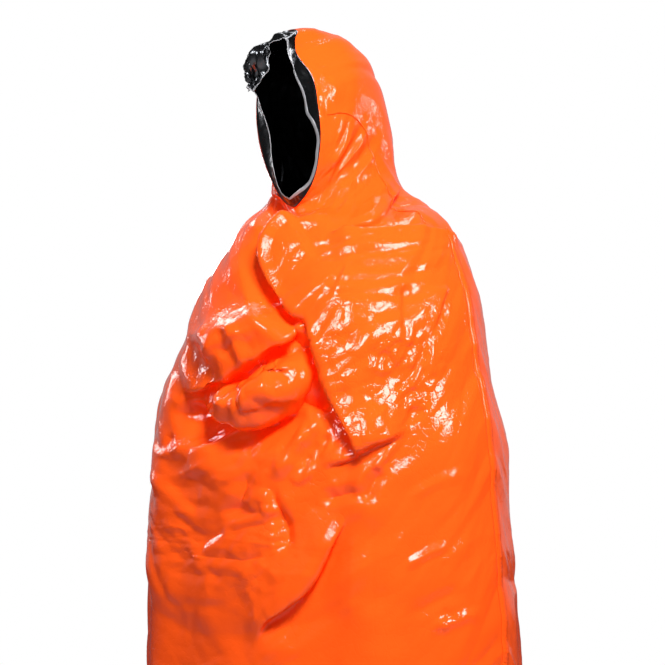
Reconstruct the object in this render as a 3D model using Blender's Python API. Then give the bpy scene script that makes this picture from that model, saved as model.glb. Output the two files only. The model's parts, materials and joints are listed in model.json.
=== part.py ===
"""A film survival bag, closed at the foot and worn upright as a hooded wrap.

Two orange film panels are welded face to face along both sides and across the foot. Each has a
metallised lining ply inside it, and the linings run past the orange film round the mouth of the bag,
where a narrow hem finishes their cut edge. The bag stands in the shape that it has in use: its foot
spread on the ground, its front drawn up and gathered by the hands inside, and its back carried over
the head as a hood, so that the mouth frames the face.

Metres, +Z up. The wearer faces -Y, and +X is the wearer's left. The film is far thinner than a solid
can be made, so each ply has a stand-in thickness.
"""

import math
from collections import namedtuple

import bmesh
import bpy
import numpy as np

# The film, as stand-in thicknesses, and the gap that is kept between two pieces
OUTER_PLY = 0.0010
LINING_PLY = 0.0007
CLEARANCE = 0.0003

# Welded seams and the hem
SIDE_SEAM_WIDTH = 0.010
SIDE_SEAM_THICKNESS = 0.0012
FOOT_SEAM_WIDTH = 0.010
HEM_WIDTH = 0.007
HEM_THICKNESS = 0.0016

# How far the lining runs past the orange film at the mouth: narrow round the face, where it turns
# inwards, and deeper over the brow, where it juts out as a visor. Each way is (inwards, forwards)
LINING_MARGIN = 0.020
LINING_TURN = (0.75, 0.65)
VISOR_DEPTH = 0.034
VISOR_TURN = (-0.25, 0.95)
VISOR_STARTS = 0.55
VISOR_FULL = 0.95

# Level sections of the worn bag, from the foot to the shoulders: how far each rises above the one
# below it, and how far the film reaches from the wearer's axis to the left, to the right, in front
# and behind
Level = namedtuple("Level", "rise left right front back")
FOOT = Level(rise=0.000, left=0.298, right=0.315, front=0.218, back=0.200)
KNEE = Level(rise=0.500, left=0.292, right=0.316, front=0.210, back=0.190)
HIP = Level(rise=0.500, left=0.284, right=0.316, front=0.202, back=0.176)
WAIST = Level(rise=0.150, left=0.273, right=0.310, front=0.198, back=0.165)
ELBOW = Level(rise=0.100, left=0.267, right=0.300, front=0.194, back=0.158)
FOREARM = Level(rise=0.075, left=0.252, right=0.281, front=0.190, back=0.154)
CHEST = Level(rise=0.075, left=0.238, right=0.232, front=0.182, back=0.148)
ARMPIT = Level(rise=0.065, left=0.226, right=0.202, front=0.170, back=0.140)
SHOULDER = Level(rise=0.055, left=0.205, right=0.154, front=0.153, back=0.131)
LEVELS = (FOOT, KNEE, HIP, WAIST, ELBOW, FOREARM, CHEST, ARMPIT, SHOULDER)
HEIGHTS = np.cumsum([one.rise for one in LEVELS])

# Sections of the hood, which fan upwards and forwards from the throat to the mouth: where each one
# meets the throat and the back of the hood, as (distance behind the axis, height above the shoulder
# level), and its half widths
Fan = namedtuple("Fan", "throat top left right")
YOKE = Fan(throat=(-0.142, 0.023), top=(0.120, 0.036), left=0.184, right=0.136)
COLLAR = Fan(throat=(-0.131, 0.041), top=(0.109, 0.068), left=0.151, right=0.120)
NECK = Fan(throat=(-0.114, 0.053), top=(0.092, 0.087), left=0.110, right=0.105)
NAPE = Fan(throat=(-0.105, 0.056), top=(0.083, 0.114), left=0.095, right=0.099)
OCCIPUT = Fan(throat=(-0.099, 0.059), top=(0.076, 0.180), left=0.086, right=0.092)
CROWN_BACK = Fan(throat=(-0.095, 0.061), top=(0.046, 0.265), left=0.080, right=0.088)
CROWN = Fan(throat=(-0.093, 0.062), top=(-0.012, 0.304), left=0.081, right=0.080)
BROW = Fan(throat=(-0.094, 0.062), top=(-0.062, 0.310), left=0.072, right=0.070)
MOUTH = Fan(throat=(-0.096, 0.061), top=(-0.098, 0.304), left=0.056, right=0.060)
FANS = (YOKE, COLLAR, NECK, NAPE, OCCIPUT, CROWN_BACK, CROWN, BROW, MOUTH)
CHIN_POINT = 0.30
CHEEK_BULGE = 0.012

# Folds, drawn as lines on an upright plane turned this far from the wearer's front to the left. A
# point is (distance across to the left of the axis, height above the shoulder level). A rise stands
# out along the line, and a lap stands out on the left of the line's run and drops to a hollow on its
# right
FOLD_PLANE_TURN = math.radians(40.0)
Rise = namedtuple("Rise", "line height spread")
Lap = namedtuple("Lap", "line height spread hollow shade")
NEAR_FOREARM = Rise(line=((0.085, -0.195), (0.000, -0.105), (-0.060, -0.030)), height=0.036, spread=0.060)
FAR_FOREARM = Rise(line=((-0.215, -0.170), (-0.130, -0.145), (-0.050, -0.100)), height=0.034, spread=0.052)
SHOULDER_PULL = Rise(line=((-0.060, 0.000), (0.060, 0.020), (0.165, 0.010)), height=0.010, spread=0.016)
APRON_PLEAT = Rise(line=((-0.020, -0.230), (-0.045, -0.420), (-0.090, -0.560)), height=0.020, spread=0.045)
SIDE_BILLOW = Rise(line=((-0.240, -0.220), (-0.235, -0.370), (-0.235, -0.520)), height=0.012, spread=0.060)
HOOD_DRAW = Rise(line=((-0.020, 0.090), (0.012, 0.170), (0.035, 0.240)), height=0.010, spread=0.020)
RISES = (NEAR_FOREARM, FAR_FOREARM, SHOULDER_PULL, APRON_PLEAT, SIDE_BILLOW, HOOD_DRAW)
SLEEVE_EDGE = Lap(
    line=((-0.094, 0.025), (-0.098, -0.020), (-0.080, -0.060), (-0.052, -0.085), (0.020, -0.120)),
    height=0.018, spread=0.070, hollow=0.018, shade=0.040,
)
ARM_DRAPE_EDGE = Lap(
    line=((-0.215, -0.192), (-0.165, -0.175), (-0.115, -0.146), (-0.060, -0.100)),
    height=0.014, spread=0.060, hollow=0.022, shade=0.050,
)
ELBOW_EDGE = Lap(
    line=((-0.030, -0.295), (0.040, -0.262), (0.095, -0.258), (0.140, -0.220), (0.150, -0.160)),
    height=0.014, spread=0.080, hollow=0.012, shade=0.045,
)
LAPS = (SLEEVE_EDGE, ARM_DRAPE_EDGE, ELBOW_EDGE)
LAP_STEP = 0.025
RISE_END_SHARE = 0.04
FACING_LOW = 0.05
FACING_FULL = 0.45

# Soft folds that hang down the skirt all round, out of which the folds above fade
HANGING_FOLDS = 9
HANGING_FOLD_DEPTH = 0.010
HANGING_FOLD_START = math.radians(60.0)

# How finely the film is faceted
FRONT_COLUMNS = 26
BACK_COLUMNS = 14
SOLE_ROWS = 2
SKIRT_ROWS = 4
DRAPE_ROWS = 20
HOOD_ROWS = 14
MARGIN_ROWS = 2

ORANGE = (0.93, 0.16, 0.01, 1.0)
SILVER = (0.42, 0.43, 0.45, 1.0)
PALE = (0.80, 0.80, 0.82, 1.0)


def clear_scene():
    for found in list(bpy.data.objects):
        bpy.data.objects.remove(found, do_unlink=True)


def film_material(name, colour, roughness, metallic):
    made = bpy.data.materials.new(name)
    made.use_nodes = True
    shader = made.node_tree.nodes["Principled BSDF"]
    shader.inputs["Base Color"].default_value = colour
    shader.inputs["Roughness"].default_value = roughness
    shader.inputs["Metallic"].default_value = metallic
    return made


def smooth_between(stops, values, at):
    """Values along a smooth curve through the stops, with no overshoot where they turn back."""
    stops, values, at = (np.asarray(a, float) for a in (stops, values, at))
    slope = np.diff(values) / np.diff(stops)
    tangent = np.concatenate([[slope[0]], (slope[:-1] + slope[1:]) / 2, [slope[-1]]])
    turning = np.concatenate([[False], slope[:-1] * slope[1:] <= 0, [False]])
    tangent[turning] = 0.0
    index = np.clip(np.searchsorted(stops, at, side="right") - 1, 0, len(slope) - 1)
    width = stops[index + 1] - stops[index]
    t = np.clip((at - stops[index]) / width, 0.0, 1.0)
    low, high = values[index], values[index + 1]
    bend_low, bend_high = tangent[index] * width, tangent[index + 1] * width
    return (
        low * (2 * t**3 - 3 * t**2 + 1)
        + bend_low * (t**3 - 2 * t**2 + t)
        + high * (3 * t**2 - 2 * t**3)
        + bend_high * (t**3 - t**2)
    )


def eased(low, high, value):
    t = np.clip((value - low) / (high - low), 0.0, 1.0)
    return t * t * (3 - 2 * t)


def column_angles():
    """Angles round the bag from the wearer's right side seam, through the front (0) and the left."""
    front = np.linspace(-math.pi / 2, math.pi / 2, FRONT_COLUMNS + 1)[:-1]
    back = np.linspace(math.pi / 2, 3 * math.pi / 2, BACK_COLUMNS + 1)[:-1]
    return np.concatenate([front, back])


def cross_sections():
    """Every section as front point, back point, left and right, from the ground to the mouth."""
    levels = [(-one.front, up, one.back, up, one.left, one.right) for one, up in zip(LEVELS, HEIGHTS)]
    fans = np.array([(*one.throat, *one.top, one.left, one.right) for one in FANS])
    fans[:, [1, 3]] += HEIGHTS[-1]
    return np.concatenate([levels, fans])


def section_ring(section, opened, angles):
    """The closed outline of the bag where one section cuts it. Opened runs from 0, a plain round
    section, to 1, the mouth, which is pointed under the chin and stands forward at the cheeks."""
    front_y, front_z, back_y, back_z, left, right = section
    along = (1 - np.cos(angles)) / 2
    side = np.where(np.sin(angles) > 0, left, right)
    x = side * np.sin(angles) * (1 - CHIN_POINT * opened * (1 - along) ** 2)
    y = front_y + (back_y - front_y) * along - CHEEK_BULGE * opened * np.sin(angles) ** 2
    z = front_z + (back_z - front_z) * along
    return np.stack([x, y, z], axis=1)


def sole_ring(share, angles):
    """A line on the ground, from the foot seam at share 0 to the edge of the sole at share 1."""
    edge = section_ring(cross_sections()[0], 0.0, angles)
    inset = FOOT_SEAM_WIDTH / 2 + CLEARANCE
    seam = edge * [1.0, 0.0, 1.0]
    seam[:, 0] -= np.sign(edge[:, 0]) * np.minimum(np.abs(edge[:, 0]), FOOT_SEAM_WIDTH)
    seam[:, 1] = -inset * np.sign(np.round(np.cos(angles), 6))
    return seam + share * (edge - seam)


def bag_rings():
    """Rings of points from the foot seam to the mouth, before any folds, as rows x columns x 3."""
    angles = column_angles()
    rings = [sole_ring(share, angles) for share in np.linspace(0, 1, SOLE_ROWS + 1)[:-1]]
    sections = cross_sections()
    stops = np.arange(len(sections))
    hip, shoulder, mouth = LEVELS.index(HIP), LEVELS.index(SHOULDER), len(sections) - 1
    drape_stops = np.interp(
        np.linspace(HEIGHTS[hip], HEIGHTS[shoulder], DRAPE_ROWS + 1)[:-1],
        HEIGHTS[hip:],
        stops[hip : shoulder + 1],
    )
    places = np.concatenate([
        np.linspace(0, hip, SKIRT_ROWS + 1)[:-1],
        drape_stops,
        np.linspace(shoulder, mouth, HOOD_ROWS + 1),
    ])
    for place in places:
        section = [float(smooth_between(stops, column, place)) for column in sections.T]
        opened = float(eased(stops[-len(FANS)], mouth, place))
        rings.append(section_ring(section, opened, angles))
    return np.array(rings)


def outward(points):
    """The outward direction at each point of a grid that closes round its columns."""
    around = np.roll(points, -1, axis=1) - np.roll(points, 1, axis=1)
    along = np.gradient(points, axis=0)
    normal = np.cross(around, along)
    return normal / np.maximum(np.linalg.norm(normal, axis=2, keepdims=True), 1e-9)


def distance_to_line(across, height, line):
    """Distance from points to a drawn line, signed + on its left, and how far along it they are."""
    line = np.asarray(line, float)
    lengths = np.linalg.norm(np.diff(line, axis=0), axis=1)
    starts = np.concatenate([[0.0], np.cumsum(lengths)])
    best = np.full(across.shape, np.inf)
    signed, share = np.zeros(across.shape), np.zeros(across.shape)
    for start, end, before, length in zip(line[:-1], line[1:], starts, lengths):
        run = (end - start) / length
        from_start = across - start[0], height - start[1]
        t = np.clip(from_start[0] * run[0] + from_start[1] * run[1], 0.0, length)
        away = np.hypot(from_start[0] - t * run[0], from_start[1] - t * run[1])
        side = np.sign(run[0] * from_start[1] - run[1] * from_start[0])
        nearer = away < best
        best = np.where(nearer, away, best)
        signed = np.where(nearer, away * side, signed)
        share = np.where(nearer, (before + t) / starts[-1], share)
    return signed, share


def fold_relief(across, height):
    """How far the drawn folds stand out of the smooth bag at points of the fold plane."""
    relief = np.zeros(across.shape)
    for rise in RISES:
        signed, share = distance_to_line(across, height, rise.line)
        fade = np.sqrt(np.sin(math.pi * np.clip(share, RISE_END_SHARE, 1 - RISE_END_SHARE)))
        relief += rise.height * fade * np.exp(-((signed / rise.spread) ** 2))
    for lap in LAPS:
        signed, share = distance_to_line(across, height, lap.line)
        fade = np.sin(math.pi * share)
        over = lap.height * np.exp(-((np.maximum(signed, 0) / lap.spread) ** 2))
        under = -lap.hollow * np.exp(-((np.minimum(signed, 0) / lap.shade) ** 2))
        above = (1 + np.tanh(signed / LAP_STEP)) / 2
        relief += fade * (under + (over - under) * above)
    return relief


def folded(points, normal):
    """The bag's rings with the drawn folds in front and the soft hanging folds all round the skirt."""
    turn_x, turn_y = math.cos(FOLD_PLANE_TURN), math.sin(FOLD_PLANE_TURN)
    across = points[..., 0] * turn_x + points[..., 1] * turn_y
    towards = normal[..., 0] * turn_y - normal[..., 1] * turn_x
    facing = eased(FACING_LOW, FACING_FULL, towards)
    height = points[..., 2]
    relief = fold_relief(across, height - HEIGHTS[-1]) * facing
    angles = column_angles()[None, :]
    hangs = eased(0.0, HEIGHTS[LEVELS.index(KNEE)], height)
    hangs *= 1 - eased(HEIGHTS[LEVELS.index(ELBOW)], HEIGHTS[-1], height)
    wave = np.sin(HANGING_FOLDS * angles + HANGING_FOLD_START) * np.sin(2 * angles) ** 2
    relief += HANGING_FOLD_DEPTH * hangs * wave
    seam_calm = np.abs(np.cos(angles)) ** 0.5
    return points + normal * (relief * seam_calm)[..., None]


def margin_rings(points, normal):
    """Rings of the lining past the orange film: round the face it turns in, and above it juts out."""
    angles = column_angles()
    rim = points[-1] - normal[-1] * (OUTER_PLY + CLEARANCE)
    centre = rim.mean(axis=0)
    inwards = centre - rim
    inwards /= np.linalg.norm(inwards, axis=1, keepdims=True)
    forwards = np.array([0.0, -1.0, 0.0])
    above = eased(VISOR_STARTS, VISOR_FULL, (1 - np.cos(angles)) / 2)[:, None]
    turned_in = inwards * LINING_TURN[0] + forwards * LINING_TURN[1]
    jutting = inwards * VISOR_TURN[0] + forwards * VISOR_TURN[1]
    way = turned_in * (1 - above) + jutting * above
    way /= np.linalg.norm(way, axis=1, keepdims=True)
    width = LINING_MARGIN + (VISOR_DEPTH - LINING_MARGIN) * above
    steps = np.linspace(0, 1, MARGIN_ROWS + 1)[1:]
    return np.array([rim + way * width * step for step in steps])


def panel_columns(grid, normal, first, count, seam_gap, crosswise):
    """One panel's columns of a closed grid, its two edges drawn back from the side seams."""
    picked = [(first + step) % grid.shape[1] for step in range(count + 1)]
    points = grid[:, picked].copy()
    points[:, 0] += crosswise[:, picked[0]] * seam_gap
    points[:, -1] -= crosswise[:, picked[-1]] * seam_gap
    return points, normal[:, picked]


def crosswise_directions(points, normal):
    """The direction along the film, round the bag, at each point."""
    around = np.roll(points, -1, axis=1) - np.roll(points, 1, axis=1)
    around -= normal * np.sum(around * normal, axis=2, keepdims=True)
    return around / np.maximum(np.linalg.norm(around, axis=2, keepdims=True), 1e-9)


def add_object(name, vertices, faces, material, parent, smooth=True):
    mesh = bpy.data.meshes.new(name)
    mesh.from_pydata([tuple(v) for v in vertices], [], faces)
    mesh.validate()
    mesh.materials.append(material)
    if smooth:
        mesh.shade_smooth()
    made = bpy.data.objects.new(name, mesh)
    made.parent = parent
    bpy.context.scene.collection.objects.link(made)
    return made


def sheet_solid(outer, inner):
    """Vertices and faces of a closed sheet between two grids of the same size."""
    rows, columns = outer.shape[:2]
    vertices = np.concatenate([outer.reshape(-1, 3), inner.reshape(-1, 3)])
    half = rows * columns

    def at(row, column, side):
        return side * half + row * columns + column

    faces = []
    for row in range(rows - 1):
        for column in range(columns - 1):
            corners = ((row, column), (row, column + 1), (row + 1, column + 1), (row + 1, column))
            faces.append([at(*corner, 0) for corner in corners])
            faces.append([at(*corner, 1) for corner in reversed(corners)])
    border = [(0, c) for c in range(columns)]
    border += [(r, columns - 1) for r in range(1, rows)]
    border += [(rows - 1, c) for c in range(columns - 2, -1, -1)]
    border += [(r, 0) for r in range(rows - 2, 0, -1)]
    for here, there in zip(border, border[1:] + border[:1]):
        faces.append([at(*here, 0), at(*here, 1), at(*there, 1), at(*there, 0)])
    return vertices, faces


def strip_solid(corner_lines, closed=False):
    """Vertices and faces of a strip whose four corner lines are given in order round its section."""
    lines = np.array(corner_lines)
    count = lines.shape[1]
    vertices = lines.transpose(1, 0, 2).reshape(-1, 3)
    faces = []
    for step in range(count if closed else count - 1):
        here, there = 4 * step, 4 * ((step + 1) % count)
        for corner in range(4):
            other = (corner + 1) % 4
            faces.append([here + corner, here + other, there + other, there + corner])
    if not closed:
        last = 4 * (count - 1)
        faces.append([3, 2, 1, 0])
        faces.append([last, last + 1, last + 2, last + 3])
    return vertices, faces


def build_panels(rings, margin, normal, orange, silver, parent):
    """The two orange panels and the linings inside them."""
    crosswise = crosswise_directions(rings, normal)
    seam_gap = SIDE_SEAM_THICKNESS / 2 + CLEARANCE
    inside = OUTER_PLY + CLEARANCE
    lined = np.concatenate([rings - normal * inside, margin])
    lined_normal = np.concatenate([normal, outward(lined)[len(rings) :]])
    lined_crosswise = np.concatenate([crosswise, np.repeat(crosswise[-1:], len(margin), axis=0)])
    for side, first, count in (("front", 0, FRONT_COLUMNS), ("back", FRONT_COLUMNS, BACK_COLUMNS)):
        outer, away = panel_columns(rings, normal, first, count, seam_gap, crosswise)
        add_object(f"{side}_film", *sheet_solid(outer, outer - away * OUTER_PLY), orange, parent)
        outer, away = panel_columns(lined, lined_normal, first, count, seam_gap, lined_crosswise)
        add_object(f"{side}_lining", *sheet_solid(outer, outer - away * LINING_PLY), silver, parent)


def build_side_seams(rings, normal, orange, parent):
    """The welded fins that stand out of the bag down both sides."""
    crosswise = crosswise_directions(rings, normal)
    laminate = OUTER_PLY + CLEARANCE + LINING_PLY
    for name, column in (("right_side_seam", 0), ("left_side_seam", FRONT_COLUMNS)):
        root = rings[SOLE_ROWS:, column].copy()
        root[0, 2] += laminate + CLEARANCE
        away = normal[SOLE_ROWS:, column].copy()
        away[0] = np.sign(root[0]) * [1.0, 0.0, 0.0]
        half = crosswise[SOLE_ROWS:, column] * SIDE_SEAM_THICKNESS / 2
        inner, tip = root - away * laminate, root + away * SIDE_SEAM_WIDTH
        corners = (inner - half, tip - half, tip + half, inner + half)
        add_object(name, *strip_solid(corners), orange, parent, smooth=False)


def build_foot_seam(orange, parent):
    """The weld across the foot, lying flat on the ground between the two halves of the sole."""
    height = OUTER_PLY + CLEARANCE + LINING_PLY
    edge_x = sole_ring(0.0, column_angles())[:, 0]
    right_end = max(edge_x[1], edge_x[-1]) + FOOT_SEAM_WIDTH / 2
    left_end = min(edge_x[FRONT_COLUMNS - 1], edge_x[FRONT_COLUMNS + 1]) - FOOT_SEAM_WIDTH / 2
    ends = np.array([right_end, left_end])
    half = FOOT_SEAM_WIDTH / 2
    corners = [
        np.stack([ends, np.full(2, y), np.full(2, z)], axis=1)
        for y, z in ((-half, 0.0), (half, 0.0), (half, height), (-half, height))
    ]
    add_object("foot_seam", *strip_solid(corners), orange, parent, smooth=False)


def build_hem(rings, margin, pale, parent):
    """The narrow hem round the mouth, along the lining's cut edge."""
    along = margin[-1] - margin[-2]
    along /= np.linalg.norm(along, axis=1, keepdims=True)
    around = np.roll(margin[-1], -1, axis=0) - np.roll(margin[-1], 1, axis=0)
    across = np.cross(around, along)
    across /= np.linalg.norm(across, axis=1, keepdims=True)
    near = margin[-1] + along * CLEARANCE - across * LINING_PLY / 2
    far = near + along * HEM_WIDTH
    half = across * HEM_THICKNESS / 2
    corners = (near - half, far - half, far + half, near + half)
    add_object("mouth_hem", *strip_solid(corners, closed=True), pale, parent, smooth=False)


def face_outwards(made):
    """Turns every face of a closed object outwards."""
    shape = bmesh.new()
    shape.from_mesh(made.data)
    bmesh.ops.recalc_face_normals(shape, faces=shape.faces)
    if shape.calc_volume(signed=True) < 0:
        bmesh.ops.reverse_faces(shape, faces=shape.faces)
    bmesh.ops.triangulate(shape, faces=shape.faces)
    shape.to_mesh(made.data)
    shape.free()


def main():
    clear_scene()
    orange = film_material("orange_polyethylene_film", ORANGE, 0.22, 0.0)
    silver = film_material("metallised_lining_film", SILVER, 0.18, 1.0)
    pale = film_material("pale_hem_film", PALE, 0.35, 0.3)
    bag = bpy.data.objects.new("survival_bag", None)
    bpy.context.scene.collection.objects.link(bag)
    plain = bag_rings()
    normal = outward(plain)
    rings = folded(plain, normal)
    margin = margin_rings(rings, normal)
    build_panels(rings, margin, normal, orange, silver, bag)
    build_side_seams(rings, normal, orange, bag)
    build_foot_seam(orange, bag)
    build_hem(rings, margin, pale, bag)
    for made in bag.children:
        face_outwards(made)


main()
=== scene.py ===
"""Dresses the worn film survival bag: crumpled orange film outside, a bright metallised lining inside,
welded side and foot seams, and a pale hem round the mouth, in plain studio light."""

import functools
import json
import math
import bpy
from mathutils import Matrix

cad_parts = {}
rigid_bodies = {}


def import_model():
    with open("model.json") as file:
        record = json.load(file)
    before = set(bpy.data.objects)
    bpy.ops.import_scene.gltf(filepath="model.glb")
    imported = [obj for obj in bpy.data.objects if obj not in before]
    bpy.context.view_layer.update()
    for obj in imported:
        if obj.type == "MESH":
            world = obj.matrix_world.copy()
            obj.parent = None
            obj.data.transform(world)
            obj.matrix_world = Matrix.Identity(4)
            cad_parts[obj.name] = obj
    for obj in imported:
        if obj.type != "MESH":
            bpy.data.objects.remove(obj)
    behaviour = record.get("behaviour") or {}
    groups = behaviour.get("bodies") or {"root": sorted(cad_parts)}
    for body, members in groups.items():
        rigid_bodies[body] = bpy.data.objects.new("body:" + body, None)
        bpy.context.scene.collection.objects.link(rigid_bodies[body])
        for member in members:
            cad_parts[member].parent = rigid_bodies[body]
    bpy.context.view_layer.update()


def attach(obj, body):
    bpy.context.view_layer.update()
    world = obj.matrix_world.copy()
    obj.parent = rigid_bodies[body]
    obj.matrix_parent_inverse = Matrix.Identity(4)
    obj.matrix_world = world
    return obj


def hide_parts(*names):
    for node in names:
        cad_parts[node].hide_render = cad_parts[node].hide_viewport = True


bl_info = {
    "name": "Film Survival Bag",
    "version": (1, 0, 0),
    "blender": (4, 5, 0),
    "location": "View3D > Sidebar > Survival Bag",
    "description": "Makes the film, lining, seams and hem of a worn survival bag",
    "category": "Add Mesh",
}

from collections import namedtuple

import bmesh
import bpy
import numpy as np
from mathutils import Vector, noise

for found in list(bpy.data.objects):
    bpy.data.objects.remove(found, do_unlink=True)
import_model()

# Level sections of the worn bag, as far as the film reaches from the wearer's axis
Level = namedtuple("Level", "height left right front back")
FOOT = Level(height=0.000, left=0.298, right=0.315, front=0.218, back=0.200)
KNEE = Level(height=0.500, left=0.292, right=0.316, front=0.210, back=0.190)
HIP = Level(height=1.000, left=0.284, right=0.316, front=0.202, back=0.176)
WAIST = Level(height=1.150, left=0.273, right=0.310, front=0.198, back=0.165)
ELBOW = Level(height=1.250, left=0.267, right=0.300, front=0.194, back=0.158)
FOREARM = Level(height=1.325, left=0.252, right=0.281, front=0.190, back=0.154)
CHEST = Level(height=1.400, left=0.238, right=0.232, front=0.182, back=0.148)
ARMPIT = Level(height=1.465, left=0.226, right=0.202, front=0.170, back=0.140)
SHOULDER = Level(height=1.520, left=0.205, right=0.154, front=0.153, back=0.131)
LEVELS = (FOOT, KNEE, HIP, WAIST, ELBOW, FOREARM, CHEST, ARMPIT, SHOULDER)

# Sections of the hood, which fan from the throat to the mouth: (distance behind the axis, height)
Fan = namedtuple("Fan", "throat top left right")
YOKE = Fan(throat=(-0.142, 1.543), top=(0.120, 1.556), left=0.184, right=0.136)
COLLAR = Fan(throat=(-0.131, 1.561), top=(0.109, 1.588), left=0.151, right=0.120)
NECK = Fan(throat=(-0.114, 1.573), top=(0.092, 1.607), left=0.110, right=0.105)
NAPE = Fan(throat=(-0.105, 1.576), top=(0.083, 1.634), left=0.095, right=0.099)
OCCIPUT = Fan(throat=(-0.099, 1.579), top=(0.076, 1.700), left=0.086, right=0.092)
CROWN_BACK = Fan(throat=(-0.095, 1.581), top=(0.046, 1.785), left=0.080, right=0.088)
CROWN = Fan(throat=(-0.093, 1.582), top=(-0.012, 1.824), left=0.081, right=0.080)
BROW = Fan(throat=(-0.094, 1.582), top=(-0.062, 1.830), left=0.072, right=0.070)
MOUTH = Fan(throat=(-0.096, 1.581), top=(-0.098, 1.824), left=0.056, right=0.060)
FANS = (YOKE, COLLAR, NECK, NAPE, OCCIPUT, CROWN_BACK, CROWN, BROW, MOUTH)
CHIN_POINT = 0.30
CHEEK_BULGE = 0.012

# The viewpoint of the photograph: turned to the wearer's left, level, at chest height
VIEW_TURN = math.radians(40.0)
VIEW_DISTANCE = 3.0
VIEW_HEIGHT = 1.41
VIEW_ASIDE = -0.0077
VIEW_SPAN = 0.931
SIDEWAYS = np.array([math.cos(VIEW_TURN), math.sin(VIEW_TURN), 0.0])
AHEAD = np.array([-math.sin(VIEW_TURN), math.cos(VIEW_TURN), 0.0])
UPWARDS = np.array([0.0, 0.0, 1.0])
VIEWPOINT = SIDEWAYS * VIEW_ASIDE - AHEAD * VIEW_DISTANCE + UPWARDS * VIEW_HEIGHT

# The studio's soft lamps: turned to the right of the viewpoint and raised, in degrees, how far off,
# how wide, how tall, how bright, and whether it lights the bag, shows in the film's gloss, or both
Lamp = namedtuple("Lamp", "turned raised distance wide tall power lights shines")
LEFT_LAMP = Lamp(-31, 27, 1.8, 0.44, 0.50, 12.3, lights=False, shines=True)
RIGHT_LAMP = Lamp(30, 22, 1.8, 0.50, 0.50, 14.0, lights=False, shines=True)
KEY_LAMP = Lamp(10, 36, 2.0, 0.50, 0.50, 63.0, lights=True, shines=False)
FILL_LAMP = Lamp(-60, 14, 2.2, 0.90, 0.90, 5.0, lights=True, shines=False)
FAR_LEFT_LAMP = Lamp(-128, 12, 2.6, 0.26, 0.70, 5.0, lights=True, shines=True)
FAR_RIGHT_LAMP = Lamp(118, 16, 2.6, 0.60, 0.90, 15.0, lights=True, shines=False)
SIDE_LAMP = Lamp(112, 14, 2.4, 0.12, 0.30, 1.7, lights=False, shines=True)
BACK_LEFT_LAMP = Lamp(-146, 36, 2.4, 0.70, 0.45, 6.0, lights=False, shines=True)
TOP_LAMP = Lamp(-170, 72, 2.6, 0.70, 0.70, 10.0, lights=True, shines=True)
BACK_LAMP = Lamp(172, 24, 2.6, 0.90, 0.90, 26.0, lights=True, shines=False)
VISOR_LAMP = Lamp(-172, 8, 2.6, 0.50, 0.30, 5.0, lights=False, shines=True)
LAMPS = (
    LEFT_LAMP, RIGHT_LAMP, KEY_LAMP, FILL_LAMP, FAR_LEFT_LAMP, FAR_RIGHT_LAMP, SIDE_LAMP,
    BACK_LEFT_LAMP, TOP_LAMP, BACK_LAMP, VISOR_LAMP,
)
LAMPS_AIM = (0.0, 0.0, 1.35)

# The camera's sensor, in millimetres, and the floor, which lies a hair under the bag
SENSOR_WIDTH = 36.0
FLOOR_REACH = 12.0
FLOOR_HEIGHT = -0.0005
WHITE = (1.0, 1.0, 1.0, 1.0)

# The patterns in the surfaces of the films, each by its real spacing in millimetres
FILM_WRINKLE = 8.3333
FILM_RIPPLE = 3.84615
FILM_CLOUD = 111.11
CREASE_CELL = 12.5
CREASE_STRAY = 14.2857
LINING_FACET = 14.2857
LINING_RIPPLE = 8.3333
HEM_RIPPLE = 7.14286

# The film's two shades of one colour, and a painted red glow: emission that lightens and reddens its shaded
# folds
FILM_SHADES = (0.93, 1.07)
FILM_PAINTED_GLOW = (1.0, 0.03, 0.0, 1.0)

# How finely the film is modelled. Rows lie close together above the hips and farther apart below
FRONT_COLUMNS = 226
BACK_COLUMNS = 144
PANELS = (("front", 0, FRONT_COLUMNS), ("back", FRONT_COLUMNS, BACK_COLUMNS))
SOLE_ROWS = 8
LEVEL_ROWS = 296
HOOD_ROWS = 120
MARGIN_ROWS = 16
ROW_AT_FOOT = 0.0150
ROW_ABOVE_HIPS = 0.0028
ROW_SAMPLES = 1000
LEFT_SHARE = 0.58

# The line of the foot weld, as shares of the foot's width, depth and height
SOLE_LINE = (0.965, 0.025, 1.0)

# The lining lies close behind the film, and hangs slack behind its laps and its bunched folds, under the
# lowest film within so many rows and columns
LINING_GAP = 0.0005
SLACK = 0.0015
SLACK_REACH = 4
SLACK_WHERE_LAPPED = (0.0002, 0.0012)
SLACK_WHERE_BUNCHED = (0.05, 0.40)

# The hem over the lining's edge, narrower on the wearer's right: its section has soft corners
HEM_THICKNESS = 0.0008
HEM_FAR_SHARE = 0.40
HEM_FAR_SIDE = (-0.2, 0.5)
HEM_OVERLAP = 0.001
HEM_POINTS = 12
HEM_SQUARENESS = (0.6, 0.8)

# A strip's map, in metres from one point to the next, and how near its doubled points lie
STRIP_MAP = 0.001
STRIP_CLOSED_WITHIN = 1e-6

# The side welds: fins that stand off the film, with pressed ribs, and roll under on the hood
SEAM_WIDTH = 0.010
SEAM_THICKNESS = 0.0008
SEAM_STANDS = math.radians(16)
SEAM_STOPS_BEFORE = 6
SEAM_ROLLS = (1.49, 1.57)
SEAM_LEFT_ON_HOOD = 0.0016
SEAM_EVENED_OVER = 9
FOOT_WELD_ENDS = (0.01, 0.99)
FOOT_WELD_POINTS = 200
RIB_SPACING = 0.006
RIB_THICKNESS = 0.0014
RIB_SHARE = 0.7
RIBBED_FROM = 0.999

# The fold that the left weld pulls in the film, and the heights between which it dies out
SEAM_FOLD = 0.005
SEAM_FOLD_WIDTH = 0.030
SEAM_FOLD_ENDS = (1.40, 1.56)

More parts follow.
